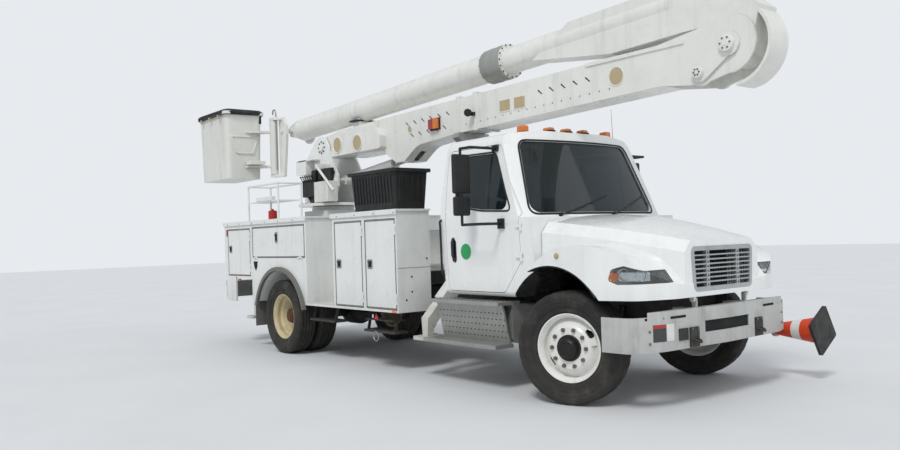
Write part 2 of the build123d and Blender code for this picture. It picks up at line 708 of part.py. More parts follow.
def bumper():
    """Wrapped steel bumper with tow brackets and the holder for the cone."""
    corner_y = BUMPER_Y - 20
    points = ((BUMPER_END, BUMPER_Y), (840, corner_y), (945, 900), (BUMPER_FRONT, 0), (945, -900), (840, -corner_y),
              (BUMPER_END, -BUMPER_Y))
    radii = (0, 130, 300, 2500, 300, 130, 0)
    skin = upward(outline(points, radii), BUMPER_LOW, BUMPER_TOP)
    skin -= upward(outline(points, radii, BUMPER_T), BUMPER_LOW - 5, BUMPER_TOP - BUMPER_T)
    skin -= block(BUMPER_END - 20, BUMPER_FRONT - 90, -1300, 1300, BUMPER_TOP - 40, BUMPER_TOP + 5)
    skin -= block(BUMPER_END - 40, BUMPER_END + 2 * BUMPER_T, -BUMPER_Y + 30, BUMPER_Y - 30, BUMPER_LOW - 5,
                  BUMPER_TOP + 5)
    opening = along(outline(((-420, 640), (-420, 740), (420, 740), (420, 640)), 30), 800, 1100)
    skin -= opening
    brackets = both_sides(block(RAIL_FRONT + TOUCH, 968, RAIL_Y - 90, RAIL_Y, 600, 850))
    x, z = HOOD_PIVOT
    y = HOOD_LUG_Y[0] - GAP
    ear = block(x - 22, x + 22, y - 20, y, 840, z) + cross_rod(HOOD_PIVOT, 22, y - 20, y)
    pin = cross_rod(HOOD_PIVOT, HOOD_PIN_R, y - 25, HOOD_LUG_Y[1] + 5)
    return skin + brackets + both_sides(ear + pin) + cone_holder()


def cone_axis():
    """Plane at the cone's tip, looking along it."""
    return Plane(origin=CONE_TIP, x_dir=(0, 1, 0), z_dir=(1, 0, 0.03))


def cone_holder():
    """Ring and arm on the bumper's left end that hold the road cone."""
    at = 190
    taper = (CONE_R - 25) / (CONE_L - 30)
    ring = cone_axis() * (Pos(0, 0, at) * Cylinder(25 + taper * at + 22, 26))
    ring -= cone_axis() * (Pos(0, 0, (CONE_L - 30) / 2) * Cone(25 + TOUCH, CONE_R + TOUCH, CONE_L - 30))
    x = CONE_TIP[0] + at
    arm = block(x - 13, x + 13, BUMPER_Y - BUMPER_T, CONE_TIP[1] - 55, 470, 760)
    arm -= cone_axis() * (Pos(0, 0, at) * Cylinder(25 + taper * at + 15, 60))
    return ring + arm


def traffic_cone():
    """Road cone stuck tip first in its holder at the bumper's left end."""
    long = CONE_L - 30
    cone = Pos(0, 0, long / 2) * Cone(25, CONE_R, long)
    base = Pos(0, 0, CONE_L - 15) * Rot(0, 0, 30) * Box(CONE_BASE, CONE_BASE, 30)
    return cone_axis() * (cone + fillet(base.edges().filter_by(Axis.Z), 25))


def body_shell(box):
    """Hollow compartment of the left side from its rear x, front x and floor z."""
    x0, x1, z0 = box
    w = BODY_WALL
    shell = block(x0, x1, BODY_INNER_Y, BODY_Y, z0, BODY_TOP)
    return shell - block(x0 + w, x1 - w, BODY_INNER_Y + w, BODY_Y - w, z0 + w, BODY_TOP - w)


def service_side():
    """Left side of the service body."""
    w = BODY_WALL
    body = body_shell(REAR_BOX) + body_shell(MID_BOX) + body_shell(FRONT_BOX)
    arch = block(MID_BOX[0], MID_BOX[1], BODY_Y - w, BODY_Y, BODY_LOW, MID_BOX[2] + w)
    body += arch
    well = cross_rod((REAR_X, WELL_Z), WELL_R + w, BODY_INNER_Y, BODY_Y)
    body += well & block(MID_BOX[0], MID_BOX[1], BODY_INNER_Y, BODY_Y, BODY_LOW, MID_BOX[2])
    body -= cross_rod((REAR_X, WELL_Z), WELL_R, 0, 2000)
    body += block(MID_BOX[1] - w, FRONT_BOX[0] + w, BODY_INNER_Y, BODY_Y, BODY_LOW, BODY_LOW + w)
    body += block(MID_BOX[1] - w, FRONT_BOX[0] + w, BODY_INNER_Y, BODY_INNER_Y + w, BODY_LOW, BODY_TOP - 200)
    body += block(MID_BOX[1] - w, MID_BOX[1], BODY_INNER_Y, BODY_Y, BODY_LOW, MID_BOX[2] + w)
    body += block(BODY_REAR + 40, BODY_REAR + 370, BODY_Y - w, BODY_Y, 670, REAR_BOX[2] + w)
    for x0, x1 in ((BODY_REAR, MID_BOX[1]), (FRONT_BOX[0], BODY_FRONT)):
        cap = block(x0 - RAIL_CAP, x1 + RAIL_CAP, BODY_INNER_Y - 10, BODY_Y + RAIL_CAP, BODY_TOP, BODY_TOP + 22)
        lip = block(x0 - RAIL_CAP, x1 + RAIL_CAP, BODY_Y + RAIL_CAP - 10, BODY_Y + RAIL_CAP, BODY_TOP - 35, BODY_TOP)
        body += cap + lip
        body += block(x0, x1, BODY_Y, BODY_Y + RAIL_CAP, BODY_TOP - 10, BODY_TOP)
    for row in BODY_DOORS:
        _, x0, x1, z0, z1, _ = row
        body -= block(x0 - GAP, x1 + GAP, BODY_Y - 2 * DOOR_T, BODY_Y + 5, z0 - GAP, z1 + GAP)
        body += body_hinges(row)
    return body


def service_body():
    """Both sides of the service body."""
    left = service_side()
    return Compound(list(left.solids()) + list(mirror(left, about=Plane.XZ).solids()))


def leaf_knuckle(row, s0, s1, toward):
    """Knuckle and leaf of a compartment door's hinge between s0 and s1 along its edge."""
    _, x0, x1, z0, _, edge = row
    y = BODY_Y + BODY_HINGE_OUT
    near, far = toward * (GAP + 3), toward * BODY_LEAF
    if edge == "front":
        strap = block(x1, x1 - far, BODY_Y + 1, y, z0 + s0, z0 + s1)
        foot = block(x1 - near, x1 - far, BODY_Y - 9, y, z0 + s0, z0 + s1)
        return strap + foot + rod((x1, y, z0 + s0), (x1, y, z0 + s1), BODY_KNUCKLE_R)
    strap = block(x0 + s0, x0 + s1, BODY_Y + 1, y, z0, z0 + far)
    foot = block(x0 + s0, x0 + s1, BODY_Y - 9, y, z0 + near, z0 + far)
    return strap + foot + rod((x0 + s0, y, z0), (x0 + s1, y, z0), BODY_KNUCKLE_R)


def hinge_line(row, s0, s1, r):
    """Round bar on a compartment door's hinge line."""
    _, x0, x1, z0, _, edge = row
    y = BODY_Y + BODY_HINGE_OUT
    if edge == "front":
        return rod((x1, y, z0 + s0), (x1, y, z0 + s1), r)
    return rod((x0 + s0, y, z0), (x0 + s1, y, z0), r)


def hinge_places(row):
    """Middles of a compartment door's two hinges along its edge."""
    _, x0, x1, z0, z1, edge = row
    long = z1 - z0 if edge == "front" else x1 - x0
    return 120, long - 120


def body_hinges(row):
    """Fixed halves of a compartment door's hinges, with their pins."""
    half = BODY_KNUCKLE_L / 2
    hinges = []
    for s in hinge_places(row):
        for s0 in (s - 3 * half - 1, s + half + 1):
            hinges.append(leaf_knuckle(row, s0, s0 + 2 * half, -1))
        hinges.append(hinge_line(row, s - 2 * half, s + 2 * half, BODY_PIN_R))
    return fused(hinges)


def body_door(row, side):
    """Door of a compartment: a pan with a thick edge and its hinge knuckles."""
    _, x0, x1, z0, z1, _ = row
    pan = block(x0, x1, BODY_Y - DOOR_T, BODY_Y, z0, z1)
    door = fillet(pan.edges().group_by(Axis.Y)[-1], 8)
    half = BODY_KNUCKLE_L / 2
    for s in hinge_places(row):
        door += leaf_knuckle(row, s - half, s + half, 1)
        door -= hinge_line(row, s - half - 1, s + half + 1, BODY_PIN_R + FIT)
    return to_side(door, side)


def deck():
    """Floor between the compartments, on sills across the frame, with the tail step."""
    y = BODY_INNER_Y - TOUCH
    body = block(BODY_REAR, BODY_FRONT, -y, y, DECK_Z, DECK_Z + DECK_T)
    for x in (BODY_REAR + 40, REAR_X - 920, REAR_X - 180, REAR_X + 250, REAR_X + 690, -3800, -3100, -2440):
        body += block(x - 35, x + 35, -RAIL_Y - 60, RAIL_Y + 60, RAIL_TOP + TOUCH, DECK_Z)
    body -= block(TURN_X - PEDESTAL_HALF - 10, TURN_X + PEDESTAL_HALF + 10, -PEDESTAL_HALF - 10,
                  PEDESTAL_HALF + 10, RAIL_TOP - 10, DECK_Z + 30)
    body -= block(LEG_SET[3][1] - 90, LEG_SET[2][1] + 90, -y - 5, y + 5, RAIL_TOP - 10, DECK_Z + 30)
    ends = [block(BODY_REAR - 250, BODY_REAR - TOUCH, -1100, 1100, 880, 960)]
    ends.append(block(BODY_REAR - 240, BODY_REAR - 215, -1100, 1100, 700, 880))
    for y0, y1 in ((-420, -340), (340, 420)):
        ends.append(block(BODY_REAR - 215, RAIL_REAR - TOUCH, y0, y1, 700, 880))
    ends.append(hitch_plate())
    body += boom_rest()
    return Compound(list(body.solids()) + [fused(ends).solid()])


def hitch_plate():
    """Plate under the tail step with four holes for a tow hook."""
    front = BODY_REAR - 240
    plate = block(front - HITCH_T, front, -150, 150, 560, 880)
    for y in (-HITCH_Y / 2, HITCH_Y / 2):
        for z in (HITCH_MID - HITCH_Z / 2, HITCH_MID + HITCH_Z / 2):
            plate -= rod((front - HITCH_T - 1, y, z), (front + 1, y, z), HITCH_HOLE_R)
    return plate


def pedestal():
    """Box column on the frame with the bearing ring for the turntable."""
    half = PEDESTAL_HALF
    column = block(TURN_X - half, TURN_X + half, -half, half, RAIL_TOP + TOUCH, TURN_Z - 60)
    column = fillet(column.edges().filter_by(Axis.Z), 40)
    column += block(TURN_X - half, TURN_X + half, -RAIL_Y, RAIL_Y, RAIL_TOP + TOUCH, RAIL_TOP + 60)
    ring = Pos(TURN_X, 0, TURN_Z - 30) * Cylinder(half - 10, 60)
    return column + ring


def slant(shape, x, side):
    """Put an outrigger piece, made along -Z from its foot's pin, on its slanted line."""
    return Pos(x, side * FOOT_Y, FOOT_Z) * Rot(side * LEG_SLANT, 0, 0) * shape


def outrigger_housings():
    """Outer boxes of the four outriggers."""
    solids = []
    for _, x, side in LEG_SET:
        tube = Pos(0, 0, 300 + LEG_LEN / 2) * (Box(LEG_BOX, LEG_BOX, LEG_LEN)
                                              - Box(LEG_BOX - 2 * LEG_WALL, LEG_BOX - 2 * LEG_WALL, LEG_LEN + 2))
        solids.append(slant(tube, x, side))
    return solids


def outrigger_mounts():
    """Housings with the saddles that carry them on the frame."""
    boxes = outrigger_housings()
    solids = []
    for (_, x, side), box in zip(LEG_SET, boxes):
        rise = RAIL_TOP + TOUCH
        saddle = block(x - LEG_BOX / 2, x + LEG_BOX / 2, -RAIL_Y, RAIL_Y, rise, rise + 700)
        bore = slant(Pos(0, 0, 1000) * Box(LEG_BOX - 2, LEG_BOX - 2, 3000), x, side)
        pieces = (saddle - bore).solids()
        under = [piece for piece in pieces if piece.bounding_box().min.Z < rise + 1]
        solids.append(fused([box] + under))
    return Compound([solid.solid() for solid in solids])


def outrigger_leg(row):
    """Sliding leg with its foot, level on the ground when it is out."""
    _, x, side = row
    tube = slant(Pos(0, 0, LEG_LEN / 2) * Box(LEG_TUBE, LEG_TUBE, LEG_LEN), x, side)
    ear = across(outline(((x - 45, FOOT_Z - 150), (x - 60, FOOT_Z + 60), (x + 60, FOOT_Z + 60), (x + 45, FOOT_Z - 150)),
                         20), side * FOOT_Y - 45, side * FOOT_Y + 45)
    pad = block(x - 98, x + 98, side * FOOT_Y - 150, side * FOOT_Y + 150, FOOT_Z - 185, FOOT_Z - 145)
    return tube + ear + fillet(pad.edges().filter_by(Axis.Z), 30)


def boom_rest():
    """Post with a padded cross-bar under the lower boom."""
    x = -2470
    top = lower_low(x - 50) - TOUCH
    post = block(x - 60, x + 60, -60, 60, DECK_Z + DECK_T, top - 120)
    bar = along(outline(((-260, top - 60), (-230, top), (230, top), (260, top - 60), (120, top - 190),
                         (-120, top - 190))), x - 50, x + 50)
    foot = block(x - 100, x + 60, -160, 160, DECK_Z + DECK_T, DECK_Z + DECK_T + 20)
    return post + bar + foot


def cab_steps(side):
    """Tank box with an upper and a lower tread."""
    x0, x1 = STEP_REAR, STEP_FRONT
    tank = fillet(block(x0, x1, 480, 1000, 470, 840).edges().filter_by(Axis.X), 60)
    upper = block(x0, x1, 900, 1195, 850, 885)
    riser = along(outline(((1010, 470), (1100, 850), (1120, 850), (1032, 470))), x0 + 20, x1 - 20)
    lower = block(x0 - 100, x1 - 20, 985, 1225, 430, 470)
    hangers = block(x0 + 150, x0 + 230, RAIL_Y, 490, 700, 800) + block(x1 - 230, x1 - 150, RAIL_Y, 490, 700, 800)
    top = block(x0, x1, 800, 1000, 820, 852)
    return to_side(tank + upper + riser + lower + hangers + top, side)


def side_bin():
    """Black ribbed tote on top of the right front compartment."""
    z0 = BODY_TOP + 22 + TOUCH
    cx, cy = -3040, -860
    def ring(long, wide, z):
        return Plane(origin=(cx, cy, z)) * RectangleRounded(long, wide, 40)
    outer = loft([ring(880, 440, z0), ring(950, 500, z0 + 480)])
    inner = loft([ring(860, 420, z0 + 12), ring(932, 482, z0 + 481)])
    rim = extrude(ring(1010, 560, z0 + 440), amount=40) - extrude(ring(920, 470, z0 + 430), amount=60)
    return outer + (rim - inner) - inner


def ladder_rack():
    """White tube rack on the right rear compartment."""
    z0, z1 = BODY_TOP + 22 + TOUCH, 2375
    x0, x1, y0, y1 = REAR_X - 1000, REAR_X - 50, -1180, -820
    posts = [rod((x, y, z0), (x, y, z1), 14) for x in (x0, x1) for y in (y0, y1)]
    rails = [rod((x0 - 14, y, z1), (x1 + 14, y, z1), 16) for y in (y0, y1)]
    ties = [rod((x, y0, z1), (x, y1, z1), 12) for x in (x0, x1)]
    shelf = block(x0, x1, y0, y1, 2130, 2142)
    return fused(posts + rails + ties + [shelf])


def rear_fenders():
    """Rubber flares round the rear wheel openings, with mud flaps behind."""
    flare = cross_rod((REAR_X, WELL_Z), WELL_R + 50, BODY_Y + TOUCH, BODY_Y + 45)
    flare -= cross_rod((REAR_X, WELL_Z), WELL_R, BODY_Y, BODY_Y + 60)
    flare &= block(REAR_X - 950, REAR_X + 950, 1000, 1400, 640, 1400)
    flap = block(REAR_X - 848, REAR_X - 836, 560, BODY_Y - BODY_WALL - TOUCH, 330, 800)
    return Compound([flare.solid(), flap, mirror(flare, about=Plane.XZ).solid(), mirror(flap, about=Plane.XZ)])


def lower_low(x):
    """Height of the lower boom's underside at x."""
    return 2790 + (x + 2520) * 0.028


def lower_top(x):
    """Height of the lower boom's top at x."""
    return 3160 + (x + 5200) * 0.017


def lower_outline(t=0):
    """Side outline of the lower boom's box, up to its neck."""
    px, pz = BOOM_PIN
    points = ((-3640, 2560), (-3350, 2735), (-2600, lower_low(-2600)), (NECK_X, lower_low(NECK_X)),
              (NECK_X, lower_top(NECK_X)), (-5200, lower_top(-5200)), (px - 60, pz + 140), (px - 140, pz + 60),
              (px - 140, pz - 80), (px - 60, pz - 150), (-5300, 2775), (-4150, 2745), (-3840, 2560))
    return outline(points, (30, 400, 0, 0, 0, 0, 60, 60, 60, 60, 0, 0, 30), t)


def lower_boom():
    """Box boom with ears for the elbow pin and a forked gusset for the lift cylinder."""
    box = across(lower_outline(), -LOWER_HALF, LOWER_HALF)
    box -= across(lower_outline(LOWER_WALL), LOWER_WALL - LOWER_HALF, LOWER_HALF - LOWER_WALL)
    slot = LIFT_EYE_W / 2 + GAP
    box -= across(outline(((-4170, 2500), (-4170, 2720), (-3450, 2720), (-3450, 2500))), -slot, slot)
    ears = outline(((NECK_X - 30, lower_low(NECK_X)), (NECK_X - 30, lower_top(NECK_X)), (ELBOW[0] - 60, 3350),
                    (ELBOW[0] + 100, 2900), (905, 2815)))
    ears += Pos(*ELBOW) * Circle(ELBOW_R) + Pos(905, 2920) * Circle(115)
    ear = across(ears, EAR_INNER, EAR_INNER + EAR_T)
    boom = box + both_sides(ear)
    boom -= cross_rod(ELBOW, ELBOW_PIN_R + FIT, -400, 400)
    boom -= cross_rod(BOOM_PIN, BOOM_PIN_R + FIT, -400, 400)
    hub = cross_rod(BOOM_PIN, BOOM_PIN_R + 30, -LOWER_HALF, LOWER_HALF)
    boom += hub - cross_rod(BOOM_PIN, BOOM_PIN_R + FIT, -400, 400)
    covers = both_sides(across(outline(((-5330, 2770), (-5300, 3080), (-4200, 3080), (-4050, 2950), (-4050, 2770)), 30),
                               LOWER_HALF, LOWER_HALF + 110))
    saddle_x = -4900
    saddle = block(saddle_x - 90, saddle_x + 90, -110, 110, lower_top(saddle_x) - 10, 3330)
    saddle -= rod(tube_point(saddle_x - 400), tube_point(saddle_x + 400), TUBE_R + TOUCH)
    stiff = both_sides(block(-440, 740, LOWER_HALF, LOWER_HALF + 14, 3215, 3250))
    return boom + covers + saddle + stiff


def turntable():
    """Rotating base with two side plates that hold the boom's pin and the lift cylinder's foot."""
    base = Pos(TURN_X, 0, TURN_Z + GAP + 20) * Cylinder(TURN_R, 40)
    z0 = TURN_Z + GAP + 30
    px, pz = BOOM_PIN
    lx, lz = LIFT_BASE
    plate = outline(((-6270, z0), (-6270, 2700), (px - 190, pz + 120), (px - 60, pz + 170), (px + 90, pz + 150),
                     (px + 190, pz), (px + 260, pz - 180), (lx + 90, lz + 60), (lx + 90, lz - 90), (-5400, z0)))
    y0, y1 = SIDE_PLATE_Y, SIDE_PLATE_Y + SIDE_PLATE_T
    body = base + both_sides(across(plate, y0, y1))
    body += cross_rod(BOOM_PIN, BOOM_PIN_R, -y1 - 20, y1 + 20)
    body += cross_rod(LIFT_BASE, LIFT_PIN_R, -y1 - 10, y1 + 10)
    body += block(-6270, -6230, -y1, y1, z0, 2600)
    body += block(-6260, -5950, -y1 - 140, -y1, 2560, 2780)
    body += block(-6000, -5700, y1, y1 + 180, 2250, 2650)
    return body


def lift_barrel():
    """Cylinder barrel with its foot eye."""
    (bx, bz), (ex, ez) = LIFT_BASE, LIFT_EYE
    reach = math.hypot(ex - bx, ez - bz)
    ux, uz = (ex - bx) / reach, (ez - bz) / reach
    def at(s):
        return bx + ux * s, 0, bz + uz * s
    barrel = rod(at(70), at(LIFT_BARREL), LIFT_R) - rod(at(110), at(LIFT_BARREL - 60), LIFT_BORE)
    barrel -= rod(at(LIFT_BARREL - 70), at(LIFT_BARREL + 10), LIFT_ROD_R + FIT)
    eye = cross_rod(LIFT_BASE, LIFT_R - 5, -60, 60) + (rod(at(30), at(72), 50))
    return barrel + eye - cross_rod(LIFT_BASE, LIFT_PIN_R + FIT, -100, 100)


def lift_rod():
    """Piston rod with its eye and the pin stub that fills it."""
    (bx, bz), (ex, ez) = LIFT_BASE, LIFT_EYE
    reach = math.hypot(ex - bx, ez - bz)
    ux, uz = (ex - bx) / reach, (ez - bz) / reach
    def at(s):
        return bx + ux * s, 0, bz + uz * s
    bar = rod(at(160), at(reach - 40), LIFT_ROD_R)
    piston = rod(at(160), at(220), LIFT_BORE - FIT)
    return bar + piston + cross_rod(LIFT_EYE, 62, -LIFT_EYE_W / 2, LIFT_EYE_W / 2)


def tube_point(x):
    """Point on the upper boom's axis at x."""
    return x, 0, TUBE_TIP[1] + (x - TUBE_TIP[0]) * TUBE_SLOPE


def elbow_link():
    """Elbow pin with the two link plates outside the lower boom's ears."""
    y0 = EAR_INNER + EAR_T + 5
    plate = outline(((ELBOW[0] - 60, 3180), (ELBOW[0] + 60, 3060), (960, 2850), (850, 2960)), 20)
    plate += Pos(*ELBOW) * Circle(105) + Pos(905, 2920) * Circle(85)
    body = cross_rod(ELBOW, ELBOW_PIN_R, -y0 - 40, y0 + 40)
    body += both_sides(across(plate, y0, y0 + 22))
    for at, r in ((ELBOW, 70), ((905, 2920), 48)):
        body += both_sides(cross_rod(at, r, y0 + 20, y0 + 50))
    return body


def upper_boom():
    """Round boom: insulating tube, collar and steel arm that runs into the elbow."""
    pin_x, pin_z = ELBOW
    tube = rod(tube_point(-6650), tube_point(COLLAR_X), TUBE_R)
    tube -= rod(tube_point(-6500), tube_point(COLLAR_X - 100), TUBE_R - TUBE_WALL)
    collar = rod(tube_point(COLLAR_X - COLLAR_L / 2), tube_point(COLLAR_X + COLLAR_L / 2), COLLAR_R)
    steel = rod(tube_point(COLLAR_X + 100), tube_point(560), STEEL_TUBE_R)
    steel -= rod(tube_point(COLLAR_X + 200), tube_point(500), STEEL_TUBE_R - TUBE_WALL)
    tip = across(outline(((-6900, 3260), (-6900, 3420), (-6600, 3500), (-6600, 3190)), 40), -120, 120)
    web = across(outline(((-1250, 3440), (-700, 3740), (700, 3790), (700, 3330), (-150, 3300))), -ROOT_HALF, ROOT_HALF)
    root = outline(((500, 3330), (500, 3780), (pin_x - 180, 3800), (pin_x + 270, pin_z + 290),
                    (pin_x + 170, pin_z - 120), (pin_x - 150, pin_z - 120), (pin_x - 290, 3330)))
    root += Pos(pin_x, pin_z) * Circle(190)
    wrap = Circle(WRAP_R) - Circle(WRAP_R - 26)
    wrap &= outline(((20, -60), (20, -420), (500, -420), (500, 420), (140, 420)))
    root += Pos(pin_x, pin_z) * wrap
    body = tube + collar + steel + tip + web + across(root, -ROOT_HALF, ROOT_HALF)
    body -= cross_rod(ELBOW, ELBOW_PIN_R + FIT, -400, 400)
    return body - cross_rod(TUBE_TIP, TIP_PIN_R + FIT, -400, 400)


def levelling_shaft():
    """Shaft through the boom's tip with its levelling sheave."""
    inner, outer = SHEAVE_Y
    shaft = cross_rod(TUBE_TIP, TIP_PIN_R, -320, outer + 15)
    sheave = cross_rod(TUBE_TIP, SHEAVE_R, inner, outer)
    rims = sheave.edges().filter_by(GeomType.CIRCLE)
    return shaft + fillet(rims, 8) + cross_rod(TUBE_TIP, 80, 128, inner)


def platform_bracket():
    """Mast on the levelling shaft with the swivel post for the bucket."""
    y0, y1 = -300, -255
    x, y = SWIVEL
    z0, z1 = MAST_Z
    mast = across(outline(((-6930, z0), (-6930, z1), (-6790, z1), (-6690, 3420), (-6690, 3260), (-6790, z0)), 20), y0, y1)
    post = rod((x, y, z0), (x, y, z1), SWIVEL_R)
    arms = []
    for z in (z0, z1 - 40):
        arms.append(upward(outline(((x - 50, y - 50), (x - 50, y + 40), (-6900, y1), (-6800, y1), (-6800, y0),
                                    (-6900, y - 40))), z, z + 40))
    body = fused([mast, post] + arms)
    return body - cross_rod(TUBE_TIP, TIP_PIN_R + FIT, -400, 400)


def bucket_form(t, lift=0):
    """Tapered bucket shape, set in by t."""
    x0, x1 = BUCKET_X
    y0, y1 = BUCKET_Y
    z0, z1 = BUCKET_Z
    mid = ((x0 + x1) / 2, (y0 + y1) / 2)
    def ring(z, taper):
        size = (x1 - x0 - 2 * t - 2 * taper, y1 - y0 - 2 * t - 2 * taper)
        return Plane(origin=(*mid, z)) * RectangleRounded(*size, 70)
    return loft([ring(z0 + lift, BUCKET_DRAFT), ring(z1 + (1 if t else 0), 0)])


def bucket():
    """Open bucket with a lip, a moulded step and the sleeve it swivels on."""
    shell = bucket_form(0) - bucket_form(BUCKET_WALL, 16)
    x0, x1 = BUCKET_X
    y0, y1 = BUCKET_Y
    z1 = BUCKET_Z[1]
    mid = Pos((x0 + x1) / 2, (y0 + y1) / 2, z1 - 45)
    lip = mid * extrude(RectangleRounded(x1 - x0 + 2 * BUCKET_LIP, y1 - y0 + 2 * BUCKET_LIP, 90), amount=45)
    shell += lip - bucket_form(BUCKET_WALL, 16)
    x, y = SWIVEL
    z_low, z_high = MAST_Z[0] + 48, MAST_Z[1] - 48
    sleeve = rod((x, y, z_low), (x, y, z_high), SLEEVE_R)
    rib = outline(((-6960, -400), (-7040, -320), (-7180, -420), (-7300, y1 - 10), (-7220, y1 - 60), (x1 - 10, -540),
                   (x1 - 10, -800), (-6985, -420)))
    ribs = upward(rib, 2760, 2790) + upward(rib, 3320, 3350)
    body = shell + (sleeve + ribs - bucket_form(BUCKET_WALL / 2))
    return body - rod((x, y, z_low - 10), (x, y, z_high + 10), SWIVEL_R + FIT)


def save(name, shape):
    """Write one node, moved to the truck's own origin."""
    export_step(Pos(*ORIGIN_SHIFT, 0) * shape, f"parts/{name}.step")


def build():
    """Make every piece and write it."""
    os.makedirs("parts", exist_ok=True)
    save("frame_rails", frame_rails())
    save("front_suspension", front_suspension())
    save("rear_suspension", rear_suspension())
    save("powertrain", powertrain())
    save("bumper", bumper())
    save("traffic_cone", traffic_cone())
    save("cab_shell", cab_shell())
    save("cab_glass", cab_glass())
    save("cab_interior", cab_interior())
    save("seats", seats())
    save("roof_lamps", roof_lamps())
    save("hood", hood())
    save("grille", grille())
    save("headlamps", headlamps())
    save("service_body", service_body())
    save("deck", deck())
    save("pedestal", pedestal())
    save("outrigger_boxes", outrigger_mounts())
    save("side_bin", side_bin())
    save("ladder_rack", ladder_rack())
    save("rear_fenders", rear_fenders())
    save("cab_steps", Compound([cab_steps(1).solid(), cab_steps(-1).solid()]))
    for row in LEG_SET:
        save(f"outrigger_{row[0]}", outrigger_leg(row))
    for word, side in (("right", -1), ("left", 1)):
        save(f"cab_door_{word}", cab_door(side))
        save(f"door_glass_{word}", door_glass(side))
        save(f"mirrors_{word}", mirror_set(side))
        save(f"knuckle_{word}", knuckle(side))
        save(f"front_wheel_{word}", steered(on_axle(front_wheel(), 0, FRONT_TRACK_Y, side), side))
        save(f"front_tyre_{word}", steered(on_axle(tyre(), 0, FRONT_TRACK_Y, side), side))
        middle = sum(DUAL_Y) / 2
        save(f"rear_wheels_{word}", on_axle(rear_wheels(), REAR_X, middle, side))
        save(f"rear_tyres_{word}", on_axle(dual_tyres(), REAR_X, middle, side))
        for row in BODY_DOORS:
            save(f"body_door_{row[0]}_{word}", body_door(row, side))
    save("tie_rod", tie_rod())
    save("turntable", turntable())
    save("lower_boom", lower_boom())
    save("lift_barrel", lift_barrel())
    save("lift_rod", lift_rod())
    save("elbow_link", elbow_link())
    save("upper_boom", upper_boom())
    save("levelling_shaft", levelling_shaft())
    save("platform_bracket", platform_bracket())
    save("bucket", bucket())


build()
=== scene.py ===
import bpy
import bmesh
import json
import math
from mathutils import Matrix, Vector
from mathutils.bvhtree import BVHTree


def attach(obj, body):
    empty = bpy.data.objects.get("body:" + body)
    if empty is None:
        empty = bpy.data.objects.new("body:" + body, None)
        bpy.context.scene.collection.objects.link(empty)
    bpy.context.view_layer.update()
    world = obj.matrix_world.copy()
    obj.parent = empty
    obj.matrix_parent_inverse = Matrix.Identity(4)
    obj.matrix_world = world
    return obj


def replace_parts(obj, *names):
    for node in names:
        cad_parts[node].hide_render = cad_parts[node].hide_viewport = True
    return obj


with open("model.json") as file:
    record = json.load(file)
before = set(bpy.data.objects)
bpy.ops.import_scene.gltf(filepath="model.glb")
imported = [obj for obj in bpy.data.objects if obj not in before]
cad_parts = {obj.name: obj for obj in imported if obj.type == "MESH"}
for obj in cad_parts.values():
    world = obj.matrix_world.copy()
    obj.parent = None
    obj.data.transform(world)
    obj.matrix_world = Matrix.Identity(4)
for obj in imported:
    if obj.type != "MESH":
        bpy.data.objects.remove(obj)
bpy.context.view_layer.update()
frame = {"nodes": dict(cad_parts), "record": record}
NODES = frame["nodes"]

# Metres. Places are given from the middle of the front axle: X forward, Y left, Z up from the ground.
AXLE_X, AXLE_Y = 3.359, -0.088
SIDES = (("right", -1), ("left", 1))

# Wheels
WHEELBASE = 5.25
TYRE_R = 0.510
FRONT_Y = 1.030
KINGPIN_Y = 0.850
STEER = math.radians(17)
DUAL_Y = (0.740, 1.070)
TREAD_STEPS = 132
NUT_CIRCLE = 0.167

# Camera of the photograph
FOCAL_PX, FRAME_PX, SHIFT_PX = 825.4, 900, 2.8
CAMERA_AT = (5.197, -6.522, 1.525)
YAW, PITCH, ROLL = math.radians(51.33), math.radians(0.71), math.radians(-1.84)

# Service body and cab
BODY_Y = 1.215
BODY_DOORS = (("rear", -6.95, -6.17, 1.06, 1.76), ("drop", -6.09, -4.52, 1.33, 1.77), ("tall_a", -3.75, -3.12, 0.735,
    1.765), ("tall_b", -3.055, -2.425, 0.735, 1.765))
ARCH_AT, ARCH_R = (-0.09, 0.55), 0.69
CONE_FOOT = 1.098
SCREEN = ((-0.950, 1.732), (-0.812, 2.488), (0.812, 2.488), (0.950, 1.732))
WINDOW = ((-1.510, 1.853), (-1.600, 2.382), (-0.938, 2.372), (-0.662, 1.768), (-1.100, 1.788))

# Boom and bucket
TUBE_TIP, TUBE_SLOPE = (-6.82, 3.34), 0.0394
ELBOW = (1.197, 3.122)
BOOM_Y, COVER_Y = 0.1795, 0.2895
BUCKET_X, BUCKET_Y, BUCKET_TOP = (-8.24, -7.16), (-1.10, -0.48), 3.655

# Small turned forms: (along the axis, radius)
HOLE = ((0, 0.012), (0.0015, 0.012), (0.0016, 0.0))
SMALL_HOLE = ((0, 0.009), (0.0015, 0.009), (0.0016, 0.0))


def V(x, y, z):
    """Place in the frame's own metres from a place counted from the front axle."""
    return Vector((x + AXLE_X, y + AXLE_Y, z))


def turns(n, start=0.0):
    """Angles of n equal steps round a circle."""
    return [2 * math.pi * (i + start) / n for i in range(n)]


# Materials

def colour(text):
    """Linear colour from a hex value."""
    parts = [int(text[i:i + 2], 16) / 255 for i in (1, 3, 5)]
    return tuple(c / 12.92 if c <= 0.04045 else ((c + 0.055) / 1.055) ** 2.4 for c in parts) + (1.0,)


